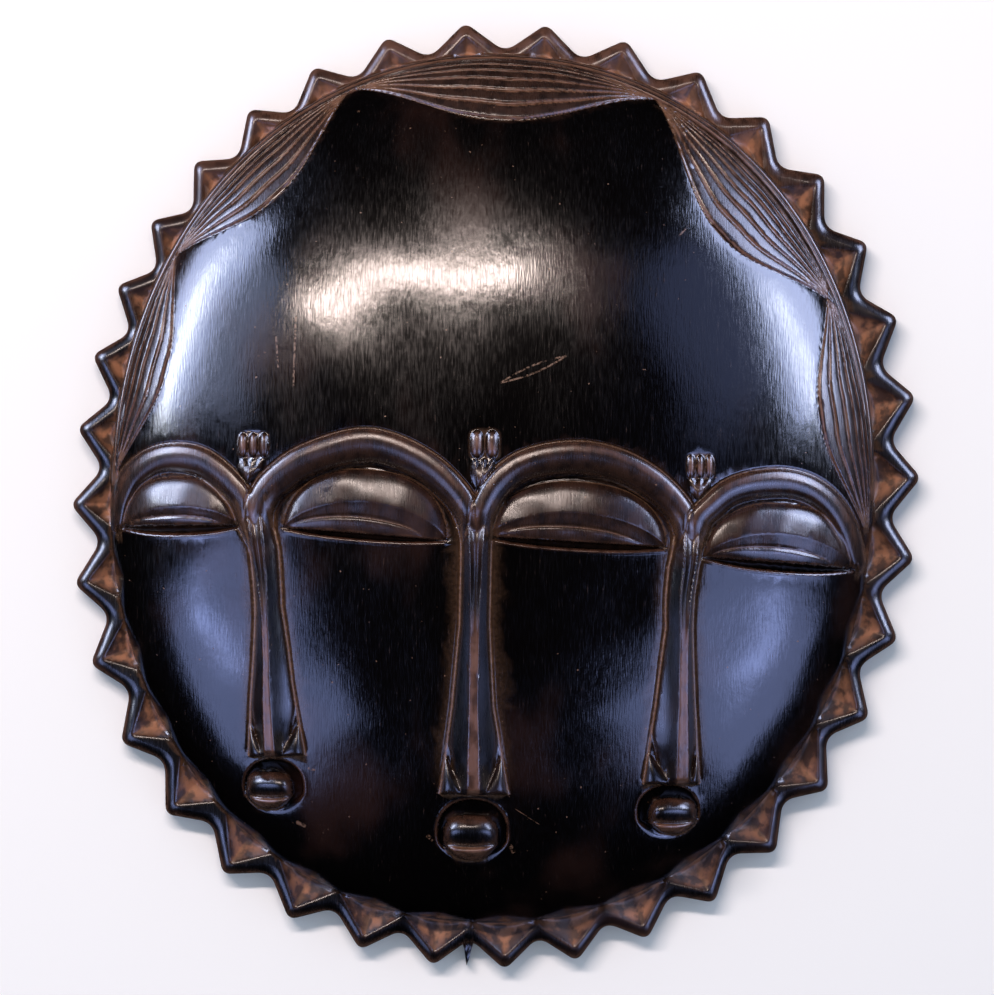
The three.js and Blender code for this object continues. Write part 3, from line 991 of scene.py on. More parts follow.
def brow_arches() -> tuple[BrowArch, ...]:
    """The four arches, left to right.

    Returns:
        One arch for each eye.
    """
    return (
        BrowArch(((-119.6, -8.0), (-119.0, -1.5)),
                 ((-117.0, 4.0), (-113.6, 8.3), (-106.9, 12.3), (-99.4, 13.4), (-92.3, 12.1),
                  (-85.9, 7.9), (-80.2, 1.9)),
                 ((-77.6, -3.5), (-76.3, -9.0), (-75.1, -16.0)),
                 (3.0, 4.6, 6.2, 5.0, 2.2)),
        BrowArch(((-73.0, -16.0), (-74.0, -9.0), (-74.4, -3.5)),
                 ((-72.6, 1.6), (-69.0, 6.0), (-60.8, 12.0), (-48.4, 16.6), (-39.1, 17.7), (-29.8, 15.2),
                  (-20.6, 10.1), (-13.8, 3.8)),
                 ((-9.6, -2.2), (-7.7, -8.5), (-7.4, -16.0)),
                 (4.6, 6.2, 8.0, 5.6, 4.2)),
        BrowArch(((-5.4, -16.0), (-5.2, -8.5), (-4.0, -2.2)),
                 ((0.3, 5.0), (7.1, 10.3), (16.3, 13.1), (27.1, 13.7), (37.9, 11.2), (47.1, 6.3),
                  (54.0, 0.2)),
                 ((58.1, -5.8), (59.5, -12.0), (59.3, -19.5)),
                 (4.2, 5.6, 7.6, 5.6, 4.6)),
        BrowArch(((61.3, -19.5), (61.6, -12.0), (62.6, -6.4)),
                 ((66.4, -2.3), (72.1, 2.3), (80.0, 4.8), (89.5, 5.4), (98.2, 3.0), (105.1, -2.3),
                  (110.1, -10.2)),
                 ((113.0, -20.3),),
                 (2.2, 5.0, 6.2, 4.6, 3.0)),
    )


def closed_eyes() -> tuple[Eye, ...]:
    """The four eyes, left to right.

    Returns:
        One eye under each arch.
    """
    return (
        Eye((-118.0, -8.9), (-80.0, -8.4), 15.2, 5.8, 3.0),
        Eye((-66.1, -9.2), (-15.6, -13.1), 19.8, 9.9, 2.1),
        Eye((-3.1, -11.9), (52.1, -15.3), 18.4, 8.9, 2.5),
        Eye((64.0, -18.2), (112.3, -22.2), 18.2, 8.8, 3.0),
    )


def long_noses() -> tuple[Nose, ...]:
    """The three noses, left to right.

    Returns:
        One nose for each pair of brow feet.
    """
    return (
        Nose(Route(((-76.4, 0.0), (-74.2, -13.1), (-72.7, -25.5), (-71.8, -37.9), (-71.4, -50.4),
                    (-71.3, -62.8), (-70.6, -80.8))),
             (3.4, 2.6, 2.8, 4.6, 6.8), (4.2, 6.0, 5.2, 7.6, 10.8),
             stripe=(2.6, 1.6, 0.95, 0.95, 1.7)),
        Nose(Route(((-6.2, -0.6), (-6.4, -19.2), (-6.8, -37.7), (-7.2, -62.5), (-7.3, -92.3))),
             (4.6, 4.6, 4.6, 6.6, 10.4), (4.6, 4.4, 4.4, 6.0, 10.7)),
        Nose(Route(((60.8, -5.0), (59.9, -19.3), (58.3, -31.7), (57.8, -47.2), (57.7, -62.7),
                    (57.6, -89.4))),
             (4.4, 6.4, 5.6, 8.4, 12.0), (3.4, 2.6, 2.5, 3.6, 5.4)),
    )


def small_mouths() -> tuple[Mouth, ...]:
    """The three mouths, left to right.

    Returns:
        One mouth under each nose.
    """
    return (
        Mouth((-69.7, -90.3), 19.4, 18.0, -0.16),
        Mouth((-7.7, -104.4), 22.4, 21.8, -0.04),
        Mouth((53.4, -98.3), 19.8, 17.6, 0.16),
    )


def scar_marks() -> tuple[ScarMarks, ...]:
    """The beads over the three noses.

    Returns:
        One row over each nose.
    """
    return (
        ScarMarks((-75.4, 16.2), 3, 3.3, 7.8, (-77.3, 4.0)),
        ScarMarks((-3.8, 16.4), 2, 4.7, 8.8, (-5.4, 1.6)),
        ScarMarks((62.8, 9.6), 3, 2.9, 7.6, (62.0, -1.0), height=1.1),
    )


def hair_bundles() -> tuple[HairBundle, ...]:
    """The five bundles, clockwise from the left temple.

    Returns:
        The bundles, which meet end to end.
    """
    return (
        HairBundle(178.5, 146.5, 0.115, 5),
        HairBundle(147.5, 112.0, 0.135, 6),
        HairBundle(112.0, 64.5, 0.165, 7),
        HairBundle(64.5, 25.0, 0.18, 7),
        HairBundle(28.0, -7.0, 0.14, 6),
    )


class Zone(Enum):
    """The bands of rings that the mask's skin is made of, from the crown of the face round to the back."""

    DOME = 380
    BORDER = 34
    WALL = 6
    RIM = 8
    HOLLOW = 46


class MaskMesh:
    """Wraps one sheet round into the closed, carved mask."""

    def __init__(self, carving: Carving, spokes_per_tooth: int = 40) -> None:
        """Keeps the carving and how finely it is sampled.

        Args:
            carving: the carving that the sheet is wrapped round.
            spokes_per_tooth: how many spokes run out to each tooth.
        """
        self.carving = carving
        self.spokes = carving.border.teeth * spokes_per_tooth
        self.per_tooth = spokes_per_tooth
        self.rings = sum(zone.value for zone in Zone)

    def build(self, name: str, triangles: int) -> bpy.types.Object:
        """Makes the mesh.

        Args:
            name: name of the object.
            triangles: how many triangles are kept after thinning.

        Returns:
            The finished object.
        """
        bpy.ops.object.select_all(action="DESELECT")
        bpy.ops.mesh.primitive_grid_add(x_subdivisions=self.spokes, y_subdivisions=self.rings, size=2.0)
        piece = bpy.context.active_object
        piece.name = name
        piece.data.name = name
        self._shape(piece.data)
        weld = piece.modifiers.new("weld", "WELD")
        weld.merge_threshold = 1e-6
        bpy.ops.object.modifier_apply(modifier=weld.name)
        thin = piece.modifiers.new("thin", "DECIMATE")
        thin.ratio = triangles / (2 * self.spokes * (self.rings - 1))
        bpy.ops.object.modifier_apply(modifier=thin.name)
        bpy.ops.object.shade_smooth()
        return piece

    def _shape(self, mesh: bpy.types.Mesh) -> None:
        """Moves every vertex of the sheet to its place on the mask.

        Args:
            mesh: the sheet's mesh.
        """
        sheet = np.empty(len(mesh.vertices) * 3)
        mesh.vertices.foreach_get("co", sheet)
        sheet = sheet.reshape(-1, 3)
        spoke = np.rint((1 - sheet[:, 0]) / 2 * self.spokes).astype(int) % self.spokes
        ring = np.rint((1 + sheet[:, 1]) / 2 * self.rings).astype(int)
        places = self._places(ring, spoke) * MM
        mesh.vertices.foreach_set("co", places.ravel())
        mesh.update()

    def _spoke_angles(self) -> Array:
        """Polar angle of each spoke, with one on every tip and every notch.

        Returns:
            One angle for each spoke.
        """
        step = np.arange(self.spokes)
        tooth = step // self.per_tooth
        within = (step % self.per_tooth) / (self.per_tooth / 2)
        border = self.carving.border
        tip, after = border.tip_angle(tooth), border.tip_angle(tooth + 1)
        middle = (tip + after) / 2
        return np.where(within < 1, lerp(tip, middle, within), lerp(middle, after, within - 1))

    def _places(self, ring: Array, spoke: Array) -> Array:
        """Place of each vertex.

        Args:
            ring: ring index of each vertex, from the crown round to the back.
            spoke: spoke index of each vertex.

        Returns:
            An array of places in millimetres, one row each.
        """
        carving = self.carving
        angles = self._spoke_angles()
        outer = carving.border.outline(angles)
        dome_edge = carving.dome.oval.from_origin(angles)
        angle, rim, edge = angles[spoke], outer[spoke], dome_edge[spoke]
        out_x, out_y = np.cos(angle), np.sin(angle)
        places = np.zeros((len(ring), 3))
        start = 0
        for zone in Zone:
            share = (ring - start) / zone.value
            inside = (share >= 0) & (share <= 1)
            t = share[inside]
            x, y, z = self._zone(zone, t, out_x[inside], out_y[inside], rim[inside], edge[inside])
            places[inside] = np.column_stack([x, y, z])
            start += zone.value
        return places

    def _zone(self, zone: Zone, t: Array, out_x: Array, out_y: Array, rim: Array,
              edge: Array) -> tuple[Array, Array, Array]:
        """Places of one band of rings.

        Args:
            zone: the band.
            t: share of the way through the band.
            out_x: way out of each spoke, across.
            out_y: way out of each spoke, along.
            rim: radius of the toothed outline.
            edge: radius of the dome's edge.

        Returns:
            The three coordinates of each place.
        """
        carving = self.carving
        if zone is Zone.DOME:
            split, outer_share = 0.82, 0.93
            near = t / split * outer_share
            late = np.clip((t - split) / (1 - split), 0, 1)
            share = np.where(t < split, near, 1 - (1 - outer_share) * (1 - late) ** 2)
            x, y = out_x * edge * share, out_y * edge * share
            return x, y, carving.front(x, y)
        if zone is Zone.BORDER:
            radius = lerp(edge, rim, t)
            x, y = out_x * radius, out_y * radius
            face = carving.border.height(x, y, carving.dome)
            foot = np.clip((1.0 - t * (rim - edge) / 1.3), 0.0, 1.0)
            return x, y, lerp(face, np.maximum(face, carving.dome.seat), foot)
        if zone is Zone.WALL:
            top = carving.border.edge
            tuck = 0.5 * ease((t - 0.6) / 0.4)
            return out_x * (rim - tuck), out_y * (rim - tuck), top * (1 - t)
        hollow = self._hollow_edge(np.arctan2(out_y, out_x))
        if zone is Zone.RIM:
            radius = lerp(rim - 0.5, hollow, t)
            return out_x * radius, out_y * radius, np.zeros_like(t)
        swing = t * math.pi / 2
        radius = hollow * np.cos(swing)
        x, y = out_x * radius, out_y * radius
        gouges = 0.35 * drift(x, y, 15.0, 21) * np.sin(swing) ** 0.5 * ease(t / 0.05)
        return x, y, carving.hollow_height * np.sin(swing) + gouges * (t < 1)

    def _hollow_edge(self, angle: Array) -> Array:
        """Radius of the hollow's mouth along lines from the origin.

        Args:
            angle: polar angles in radians.

        Returns:
            One radius for each angle.
        """
        dome = self.carving.dome.oval
        inset = 2 * self.carving.rim_wall
        mouth = Oval(dome.centre, dome.width - inset, dome.length - inset, dome.lean, dome.fullness)
        return mouth.from_origin(angle)


@dataclass(frozen=True)
class Softbox:
    """One soft rectangular panel, placed by its way out from the mask.

    A panel that is only for shine is seen in the polish and leaves the floor and the matt places alone.
    """

    name: str
    way: Triple
    side: Triple
    size: Point
    brightness: float
    colour: Triple
    only_shine: bool = True
    distance: float = 1.3
    aim: Triple = (0.0, 0.0, 0.03)

    def build(self) -> None:
        """Makes the lamp, points it at the mask and turns its first side along the given way."""
        name = f"lamp_{self.name}"
        data = bpy.data.lights.new(name, "AREA")
        data.shape = "RECTANGLE"
        data.size, data.size_y = self.size
        data.energy = self.brightness * self.size[0] * self.size[1]
        data.color = self.colour
        lamp = bpy.data.objects.new(name, data)
        way, side = Vector(self.way).normalized(), Vector(self.side)
        first = (side - way * side.dot(way)).normalized()
        lamp.location = way * self.distance + Vector(self.aim)
        lamp.rotation_euler = Matrix((first, way.cross(first), way)).transposed().to_euler()
        lamp.visible_diffuse = not self.only_shine
        bpy.context.scene.collection.objects.link(lamp)


@dataclass(frozen=True)
class Studio:
    """The pale floor, the soft lights and the camera over the mask."""

    camera_height: float = 1.6
    view_width: float = 0.3175
    sensor_width: float = 36.0
    floor_size: float = 6.0
    floor_drop: float = 0.0002
    floor_roughness: float = 0.9
    room_strength: float = 0.5
    paper: Colour = (0.88, 0.92, 0.96, 1.0)
    room: Colour = (0.82, 0.9, 1.0, 1.0)
    warm: Triple = (1.0, 0.82, 0.75)
    cool: Triple = (0.4, 0.5, 1.0)
    lilac: Triple = (0.55, 0.64, 1.0)
    pale: Triple = (0.82, 0.88, 1.0)

    def softboxes(self) -> tuple[Softbox, ...]:
        """The lamps: a warm strip over the forehead, cool panels low at the sides and over the cheeks.

        Returns:
            All the lamps of the studio.
        """
        return (
            Softbox("forehead", (-0.225, 0.466, 0.855), (1.0, 0.0, 0.0), (0.84, 0.08), 225.0, self.warm,
                    only_shine=False),
            Softbox("left_side", (-0.875, 0.446, 0.191), (0.45, 0.89, 0.0), (0.7, 0.76), 50.0, self.lilac),
            Softbox("left_core", (-0.9, 0.34, 0.22), (0.45, 0.89, 0.0), (0.56, 0.2), 85.0, self.pale),
            Softbox("right_side", (0.865, 0.436, 0.25), (-0.45, 0.89, 0.0), (0.84, 0.74), 56.0, self.lilac),
            Softbox("right_core", (0.89, 0.3, 0.335), (-0.4, 0.86, 0.3), (0.46, 0.16), 52.0, self.pale),
            Softbox("left_haze", (-0.742, 0.346, 0.574), (0.42, 0.9, 0.0), (0.5, 0.3), 12.0, self.lilac),
            Softbox("right_haze", (0.612, 0.354, 0.707), (-0.5, 0.86, 0.0), (0.6, 0.5), 4.5, self.cool),
            Softbox("left_cheek", (-0.7, -0.385, 0.6), (-0.48, 0.87, 0.0), (0.72, 1.02), 15.0, self.cool),
            Softbox("left_glint", (-0.77, -0.28, 0.574), (-0.34, 0.94, 0.0), (0.18, 0.2), 42.0, self.cool),
            Softbox("right_cheek", (0.695, -0.415, 0.587), (0.52, 0.86, 0.0), (0.76, 1.25), 14.5, self.cool),
            Softbox("right_glint", (0.733, -0.342, 0.588), (0.42, 0.9, 0.0), (0.24, 0.3), 30.0, self.cool),
        )

    def build(self) -> None:
        """Makes the floor, the lights and the camera."""
        self._floor()
        for softbox in self.softboxes():
            softbox.build()
        self._world()
        self._camera()

    def _floor(self) -> None:
        """A pale sheet under the mask."""
        bpy.ops.object.select_all(action="DESELECT")
        bpy.ops.mesh.primitive_plane_add(size=self.floor_size, location=(0.0, 0.0, -self.floor_drop))
        floor = bpy.context.active_object
        floor.name = "floor"
        paint = bpy.data.materials.new("floor_paper")
        paint.use_nodes = True
        shader = paint.node_tree.nodes["Principled BSDF"]
        shader.inputs["Base Color"].default_value = self.paper
        shader.inputs["Roughness"].default_value = self.floor_roughness
        floor.data.materials.append(paint)
        floor.visible_glossy = False

    def _world(self) -> None:
        """A faint even light that fills the matt places and isn't seen in the polish."""
        world = bpy.data.worlds.new("room")
        world.use_nodes = True
        light = world.node_tree.nodes["Background"]
        light.inputs["Color"].default_value = self.room
        light.inputs["Strength"].default_value = self.room_strength
        world.cycles_visibility.glossy = False
        bpy.context.scene.world = world
        bpy.context.scene.view_settings.view_transform = "Standard"

    def _camera(self) -> None:
        """A camera straight above the mask, its top towards the forehead."""
        data = bpy.data.cameras.new("camera")
        data.sensor_width = self.sensor_width
        data.lens = data.sensor_width * self.camera_height / self.view_width
        camera = bpy.data.objects.new("camera", data)
        camera.location = (0.0, 0.0, self.camera_height)
        bpy.context.scene.collection.objects.link(camera)
        bpy.context.scene.camera = camera


@dataclass(frozen=True)
class WearMap:
    """Marks where the skin is rubbed, dusty, in a pit, less polished, shaded or plain at the back; the rubbed
    mark also paints highlights on the brow crests and the bead tops.

    The reach says how far round a place is looked at, and the step which swell of it counts as full.
    """

    carving: Carving
    reach: float = 0.65
    step: float = 0.24
    onset: float = 0.25
    ridge_wear: float = 0.4
    border_wear: float = 0.75
    crown_wear: float = 0.6
    groove_wear: float = 0.75
    brow_wear_and_highlight: float = 0.6
    nose_wear: float = 0.85
    mouth_wear: float = 0.85
    lid_wear: float = 0.19
    crack_dust: float = 0.4
    groove_dust: float = 0.45
    mark_dust: float = 0.25
    nose_calm: float = 0.3
    pit_full: float = 1.6

    names = ("wear_and_highlight", "dusty", "recess", "satin", "shade", "plain_back")

    def paint(self, mesh: bpy.types.Mesh) -> None:
        """Writes one value for each mark on each vertex.

        Args:
            mesh: the mask's mesh.
        """
        places = np.empty(len(mesh.vertices) * 3)
        mesh.vertices.foreach_get("co", places)
        x, y, z = (places.reshape(-1, 3) / MM).T
        height = self.carving.height(x, y)
        front = np.abs(z - height) < 2.5
        front |= self.carving.dome.oval.share(x, y) > 1.0
        values = [mark * front for mark in self._values(x, y, height)]
        values.append((~front | (z < 0.3)).astype(float))
        for name, value in zip(self.names, values):
            attribute = mesh.attributes.new(name, "FLOAT", "POINT")
            attribute.data.foreach_set("value", value.astype(np.float32))

    def _values(self, x: Array, y: Array, height: Array) -> tuple[Array, ...]:
        """Shares of each place for every mark but the last.

        Args:
            x: places across the mask.
            y: places along the mask.
            height: heights of the carved front there.

        Returns:
            One array for each mark.
        """
        carving = self.carving
        share = carving.dome.oval.share(x, y)
        forehead_side = y > carving.brow_line(x)
        bare = np.where(forehead_side, carving.dome.forehead(x, y), carving.dome.cheeks(x, y))
        wear_and_highlight, dusty = self._edges(x, y, height, share, bare)
        wear_and_highlight, dusty = self._hair(x, y, wear_and_highlight, dusty, forehead_side & (share < 1))
        wear_and_highlight, dusty = self._features(x, y, wear_and_highlight, dusty)
        crown = self.crown_wear * ease((y - 70.0) / 60.0)
        wear_and_highlight = np.where(share > 1, np.maximum(wear_and_highlight, crown), wear_and_highlight)
        index = carving.border.tooth_of(np.arctan2(y, x))
        pit = carving.border.pit(x, y, index, carving.dome)
        recess = np.clip(pit / self.pit_full, 0, 1) * (share > 1.0)
        satin = np.where(share < 1, ease((np.abs(height - bare) - 0.3) / 0.6), 1.0)
        lids = self.lid_wear * satin * ease((y + 24.0) / 8.0)
        wear_and_highlight = np.where(share < 1, np.maximum(wear_and_highlight, lids), wear_and_highlight)
        shade = ease((bare - height - 0.5) / 1.0) * (share < 1)
        return wear_and_highlight, dusty, recess, satin, shade

    def _edges(self, x: Array, y: Array, height: Array, share: Array, bare: Array) -> tuple[Array, Array]:
        """Rubs the edges that stand out and lays dust in the cracks.

        Args:
            x: places across the mask.
            y: places along the mask.
            height: heights of the carved front there.
            share: how far out the places lie on the dome.
            bare: height of the bare forehead or cheeks.

        Returns:
            How much wear and dust each place has.
        """
        count = 6
        turns = np.arange(count) * math.tau / count + 0.3
        around = sum(self.carving.height(x + self.reach * math.cos(t), y + self.reach * math.sin(t))
                     for t in turns) / count
        swell = (height - around) / self.step
        swell = swell * np.where(share < 1, np.clip((1.0 - share) / 0.02, 0.25, 1.0), 1.0)
        sunk = (share < 1) & (height < bare - 0.8)
        wear_and_highlight = np.clip(swell - self.onset, 0, 1) * np.where(share < 1, self.ridge_wear, self.border_wear)
        dusty = np.clip(-swell - self.onset, 0, 1) * np.where(sunk, 0.0, self.crack_dust)
        return wear_and_highlight, dusty

    def _hair(self, x: Array, y: Array, wear_and_highlight: Array, dusty: Array, allowed: Array) -> tuple[Array, Array]:
        """Browns the grooves between the hair's strands.

        Args:
            x: places across the mask.
            y: places along the mask.
            wear_and_highlight: wear of the places so far.
            dusty: how dusty they are so far.
            allowed: where hair may lie.

        Returns:
            How much wear and dust each place has.
        """
        carving = self.carving
        crest = (carving.hair(x, y) + carving.rim_strands(x, y)) / carving.hair_height
        hair = (crest > 0.01) & allowed
        groove = ease((0.85 - crest) / 0.2)
        wear_and_highlight = np.where(hair, self.groove_wear * groove, wear_and_highlight)
        return wear_and_highlight, np.where(hair, self.groove_dust * groove * ease((crest - 0.1) / 0.3), dusty)

    def _features(self, x: Array, y: Array, wear_and_highlight: Array, dusty: Array) -> tuple[Array, Array]:
        """Rubs the brows, noses, mouths and scar marks, and dusts what lies beside them. The brown on the
        brow crests and on the upper ends of the beads is partly a painted highlight.

        Args:
            x: places across the mask.
            y: places along the mask.
            wear_and_highlight: wear and painted highlight of the places so far.
            dusty: how dusty they are so far.

        Returns:
            How much wear, painted highlight and dust each place has.
        """
        # brow crests: the brown is partly wear, partly a painted warm highlight of the light from above
        for brow in self.carving.brows:
            wear_and_highlight = np.maximum(wear_and_highlight, self.brow_wear_and_highlight * brow.rubbed(x, y))
        for nose in self.carving.noses:
            rubbed, dust, on_nose = nose.colour(x, y)
            calm = np.where(on_nose, self.nose_calm, 1.0)
            wear_and_highlight = np.maximum(calm * wear_and_highlight, self.nose_wear * rubbed)
            dusty = np.maximum(calm * dusty, dust)
        for mouth in self.carving.mouths:
            wear_and_highlight = np.maximum(wear_and_highlight, self.mouth_wear * mouth.rubbed(x, y))
        for mark in self.carving.marks:
            bead = np.clip(mark.carve(x, y, np.zeros_like(x)) / mark.height, -1.0, 1.0)
            # beads get a little real wear all over, and are painted lighter towards their upper end as a
            # highlight of the light from above
            upper = 0.3 + 0.6 * ease((y - mark.centre[1]) / mark.length + 0.9)
            wear_and_highlight = np.where(bead > 0.02, upper * ease(bead), wear_and_highlight)
            dusty = np.where(np.abs(bead) > 0.02, self.mark_dust * np.clip(-bead * 4.0, 0, 1), dusty)
        return wear_and_highlight, dusty


class NodeSheet:
    """Short hand for laying out a material's nodes."""

    def __init__(self, name: str) -> None:
        """Starts a material with its shader.

        Args:
            name: name of the material.
        """
        self.material = bpy.data.materials.new(name)
        self.material.use_nodes = True
        self.tree = self.material.node_tree
        self.shader = self.tree.nodes["Principled BSDF"]

    def node(self, kind: str, **settings: object) -> bpy.types.Node:
        """Adds a node and sets its options.

        Args:
            kind: Blender's name of the node's type.
            settings: the node's options by name.

        Returns:
            The new node.
        """
        made = self.tree.nodes.new(kind)
        for key, value in settings.items():
            setattr(made, key, value)
        return made

    def feed(self, socket: bpy.types.NodeSocket, value: object) -> None:
        """Links an output to a socket, or sets the socket to a plain value.

        Args:
            socket: the input to fill.
            value: an output, or a plain value.
        """
        if isinstance(value, bpy.types.NodeSocket):
            self.tree.links.new(value, socket)
        else:
            socket.default_value = value

    def attribute(self, name: str) -> bpy.types.NodeSocket:
        """Value of one of the mesh's own marks."""
        return self.node("ShaderNodeAttribute", attribute_name=name).outputs["Fac"]

    def math(self, operation: str, *values: object) -> bpy.types.NodeSocket:
        """One sum on plain values or outputs.

        Args:
            operation: Blender's name of the sum.
            values: plain values or outputs.

        Returns:
            The sum's output.
        """
        made = self.node("ShaderNodeMath", operation=operation)
        for socket, value in zip(made.inputs, values):
            self.feed(socket, value)
        return made.outputs["Value"]

    def spread(self, value: object, low: float, high: float, to_low: float = 0.0,
               to_high: float = 1.0) -> bpy.types.NodeSocket:
        """Maps a value from one span to another with soft ends.

        Args:
            value: the value to map.
            low: where the first span starts.
            high: where it ends.
            to_low: where the second span starts.
            to_high: where it ends.

        Returns:
            The mapped value.
        """
        made = self.node("ShaderNodeMapRange", interpolation_type="SMOOTHSTEP")
        for name, entry in (("Value", value), ("From Min", low), ("From Max", high), ("To Min", to_low),
                            ("To Max", to_high)):
            self.feed(made.inputs[name], entry)
        return made.outputs["Result"]

    def noise(self, scale: Triple, detail: float) -> bpy.types.NodeSocket:
        """Noise laid out along the object's own axes, with its cells a metre over scale in size.

        Args:
            scale: cells to a metre along each axis.
            detail: how many finer layers lie on the first.

        Returns:
            The noise, about 0 to 1.
        """
        where = self.node("ShaderNodeTexCoord").outputs["Object"]
        mapping = self.node("ShaderNodeMapping")
        self.feed(mapping.inputs["Vector"], where)
        mapping.inputs["Scale"].default_value = scale
        made = self.node("ShaderNodeTexNoise")
        self.feed(made.inputs["Vector"], mapping.outputs["Vector"])
        made.inputs["Scale"].default_value = 1.0
        made.inputs["Detail"].default_value = detail
        return made.outputs["Fac"]

    def stroke(self, start: Point, end: Point, width: float, belly: float = 0.0) -> bpy.types.NodeSocket:
        """Mask of a thin scratch, or of a leaf's outline where it has a belly.

        Args:
            start: one end in millimetres.
            end: the other end.
            width: half width of the line.
            belly: how far the outline stands out at the middle.

        Returns:
            The mask.
        """
        run = Vector((end[0] - start[0], end[1] - start[1]))
        mapping = self.node("ShaderNodeMapping", vector_type="TEXTURE")
        self.feed(mapping.inputs["Vector"], self.node("ShaderNodeTexCoord").outputs["Object"])
        mapping.inputs["Location"].default_value = (start[0] * MM, start[1] * MM, 0.0)
        mapping.inputs["Rotation"].default_value = (0.0, 0.0, math.atan2(run.y, run.x))
        mapping.inputs["Scale"].default_value = (run.length * MM, MM, 1.0)
        parts = self.node("ShaderNodeSeparateXYZ")
        self.feed(parts.inputs[0], mapping.outputs["Vector"])
        along, across = parts.outputs["X"], parts.outputs["Y"]
        bow = self.math("MULTIPLY", self.math("SINE", self.math("MULTIPLY", along, math.pi)), belly)
        away = self.math("ABSOLUTE", self.math("SUBTRACT", self.math("ABSOLUTE", across), bow))
        line = self.spread(away, 0.4 * width, width, 1.0, 0.0)
        inside = self.math("MULTIPLY", self.spread(along, 0.0, 0.04), self.spread(along, 0.96, 1.0, 1.0, 0.0))
        return self.math("MULTIPLY", line, inside)

    def most(self, first: bpy.types.NodeSocket, *others: bpy.types.NodeSocket) -> bpy.types.NodeSocket:
        """Greatest of several outputs.

        Args:
            first: an output.
            others: the outputs that it is set against.

        Returns:
            The greatest of them.
        """
        for other in others:
            first = self.math("MAXIMUM", first, other)
        return first

    def blend(self, share: object, first: object, second: object) -> bpy.types.NodeSocket:
        """Mix of two colours.

        Args:
            share: how much of the second colour shows.
            first: a colour or an output.
            second: another.

        Returns:
            The mixed colour.
        """
        made = self.node("ShaderNodeMix", data_type="RGBA")
        self.feed(made.inputs[0], share)
        self.feed(made.inputs[6], first)
        self.feed(made.inputs[7], second)
        return made.outputs[2]


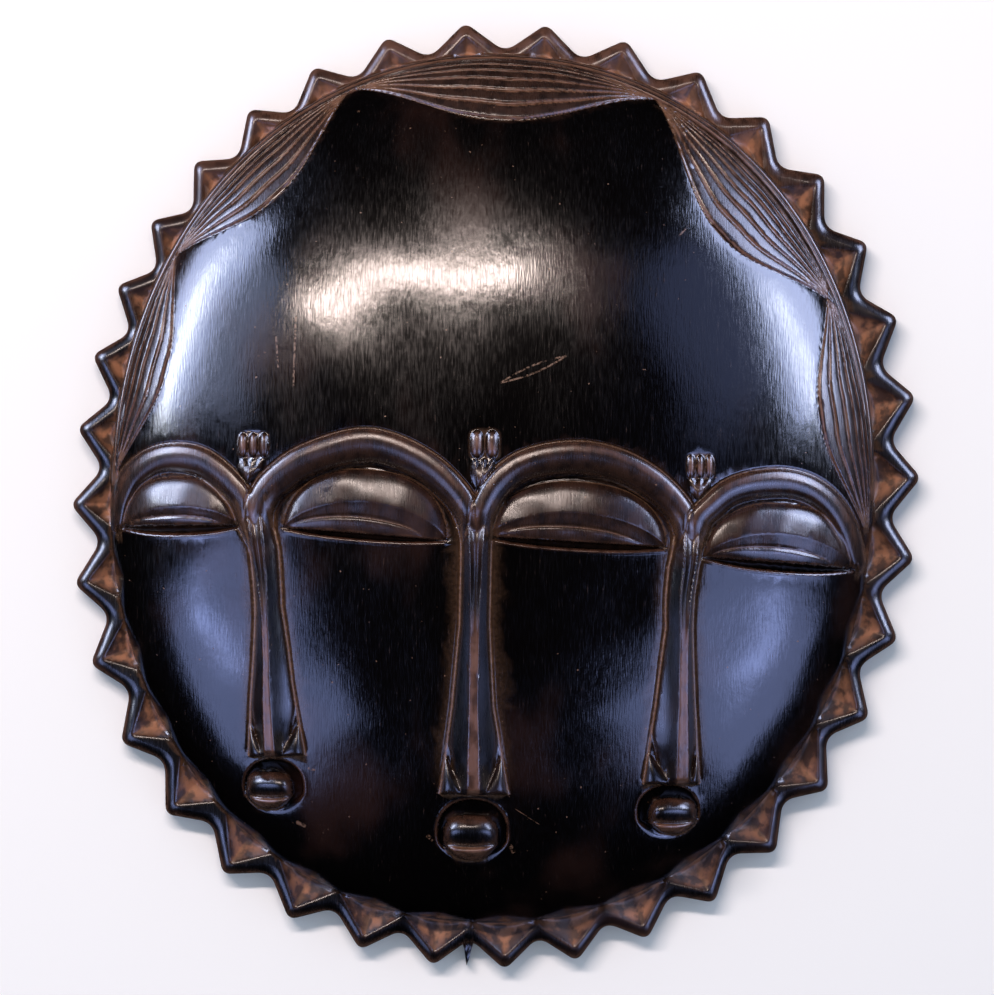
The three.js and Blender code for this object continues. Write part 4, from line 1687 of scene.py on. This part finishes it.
@dataclass(frozen=True)
class PolishedWood:
    """Dark stained wood: glossy on the swells, rubbed brown on edges and in the pits, and painted brown as a
    highlight on the brow crests and bead tops.
    """

    stain: Colour = (0.0011, 0.0008, 0.0009, 1.0)
    ember: Colour = (0.014, 0.0055, 0.004, 1.0)
    pore: Colour = (0.05, 0.028, 0.02, 1.0)
    # brown of rubbed wood, also used for the painted highlight on the brow crests and bead tops
    rubbed: Colour = (0.15, 0.068, 0.042, 1.0)
    clay: Colour = (0.3, 0.132, 0.066, 1.0)
    dust: Colour = (0.25, 0.13, 0.07, 1.0)
    bare: Colour = (0.035, 0.018, 0.01, 1.0)
    grain: Triple = (2400.0, 230.0, 600.0)
    patches: Triple = (28.0, 18.0, 28.0)
    grit: Triple = (900.0, 900.0, 900.0)
    flecks: Triple = (260.0, 200.0, 260.0)
    pore_strength: float = 0.6
    scratch_strength: float = 0.55
    polish: tuple[float, float] = (0.12, 0.22)
    matt: float = 0.6
    satin_matt: float = 0.27
    rubbed_matt: float = 0.6
    back_matt: float = 0.8
    shine: float = 0.5
    shaded_shine: float = 0.04
    relief: float = 0.14
    relief_depth: float = 0.0003
    scratches: tuple[tuple[Point, Point, float, float], ...] = (
        ((0.9, 35.2), (21.6, 43.7), 0.36, 1.15),
        ((-62.1, 57.5), (-62.9, 34.0), 0.42, 0.0),
        ((-68.4, 50.0), (-67.6, 40.0), 0.36, 0.0),
        ((56.4, 81.0), (59.8, 84.8), 0.35, 0.0),
        ((5.6, -96.7), (13.4, -101.9), 0.16, 0.0),
        ((-21.9, -105.2), (-19.9, -106.8), 0.7, 0.0),
        ((4.2, -108.6), (5.3, -110.9), 0.8, 0.0),
        ((-62.9, -101.5), (-59.8, -102.9), 0.8, 0.0),
        ((-58.9, -84.2), (-56.5, -85.0), 0.5, 0.0),
    )

    def build(self) -> bpy.types.Material:
        """Makes the material.

        Returns:
            The finished material.
        """
        sheet = NodeSheet("polished_wood")
        grain, patches = sheet.noise(self.grain, 3.0), sheet.noise(self.patches, 3.0)
        grit, flecks = sheet.noise(self.grit, 2.0), sheet.noise(self.flecks, 4.0)
        wear_and_highlight, dusty, recess, satin, shade, back = (sheet.attribute(name) for name in WearMap.names)
        # rubbed brown; on the brow crests and bead tops it is partly a painted highlight
        rub_and_highlight = sheet.math("MULTIPLY", wear_and_highlight, sheet.spread(flecks, 0.3, 0.62, 0.35, 1.0))
        scratches = sheet.math("MULTIPLY", self._scratches(sheet, grit, back), self.scratch_strength)
        dusting = sheet.math("MULTIPLY", dusty, sheet.spread(grit, 0.3, 0.7, 0.55, 1.0))
        dusting = sheet.most(dusting, scratches)
        pits = sheet.math("MULTIPLY", recess, sheet.spread(flecks, 0.4, 0.6, 0.2, 1.0))
        pores = sheet.math("MULTIPLY", sheet.spread(grain, 0.66, 0.8), self.pore_strength)
        colour = sheet.blend(sheet.spread(patches, 0.5, 0.72), self.stain, self.ember)
        for share, tint in ((pores, self.pore), (rub_and_highlight, self.rubbed), (dusting, self.dust),
                            (pits, self.clay), (back, self.bare)):
            colour = sheet.blend(share, colour, tint)
        sheet.feed(sheet.shader.inputs["Base Color"], colour)
        matt = sheet.most(recess, dusting, sheet.math("MULTIPLY", back, self.back_matt),
                          sheet.math("MULTIPLY", rub_and_highlight, self.rubbed_matt),
                          sheet.math("MULTIPLY", satin, self.satin_matt))
        polish = sheet.spread(sheet.math("ADD", grain, patches), 0.75, 1.25, *self.polish)
        rough = sheet.node("ShaderNodeMix", data_type="FLOAT")
        for place, value in ((0, matt), (2, polish), (3, self.matt)):
            sheet.feed(rough.inputs[place], value)
        sheet.feed(sheet.shader.inputs["Roughness"], rough.outputs[0])
        shine = sheet.spread(shade, 0.0, 1.0, self.shine, self.shaded_shine)
        sheet.feed(sheet.shader.inputs["Specular IOR Level"], shine)
        uneven = sheet.math("ADD", sheet.math("MULTIPLY", flecks, 1.4), sheet.math("MULTIPLY", grit, recess))
        self._relief(sheet, sheet.math("ADD", grain, uneven))
        return sheet.material

    def _scratches(self, sheet: NodeSheet, grit: bpy.types.NodeSocket,
                   back: bpy.types.NodeSocket) -> bpy.types.NodeSocket:
        """Mask of the broken scratches and the pale specks, away from the back.

        Args:
            sheet: where the nodes are laid out.
            grit: fine noise that breaks the scratches.
            back: where the plain back is.

        Returns:
            The mask.
        """
        strokes = sheet.most(*(sheet.stroke(*scratch) for scratch in self.scratches))
        broken = sheet.math("MULTIPLY", strokes, sheet.spread(grit, 0.4, 0.62, 0.0, 0.9))
        specks = sheet.spread(sheet.noise(self.grit, 0.0), 0.86, 0.9)
        return sheet.math("MULTIPLY", sheet.most(broken, specks), sheet.math("SUBTRACT", 1.0, back))

    def _relief(self, sheet: NodeSheet, height: bpy.types.NodeSocket) -> None:
        """Gives the shader the wood's finest relief.

        Args:
            sheet: where the nodes are laid out.
            height: the relief's height.
        """
        relief = sheet.node("ShaderNodeBump")
        relief.inputs["Strength"].default_value = self.relief
        relief.inputs["Distance"].default_value = self.relief_depth
        sheet.feed(relief.inputs["Height"], height)
        sheet.feed(sheet.shader.inputs["Normal"], relief.outputs["Normal"])


def main() -> None:
    """Builds the mask, then the studio, and reports each piece."""
    logging.basicConfig(level=logging.INFO, format="%(message)s")
    carving = Carving(Dome(), Border(), brow_arches(), closed_eyes(), long_noses(), small_mouths(),
                      scar_marks(), hair_bundles())
    mask = MaskMesh(carving).build("carved_mask", 190000)
    WearMap(carving).paint(mask.data)
    mask.data.materials.append(PolishedWood().build())
    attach(mask, "root")
    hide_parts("mask")
    LOG.info("mask: %d triangles", sum(len(p.vertices) - 2 for p in mask.data.polygons))
    Studio().build()
    LOG.info("studio ready")


if __name__ == "__main__":
    main()
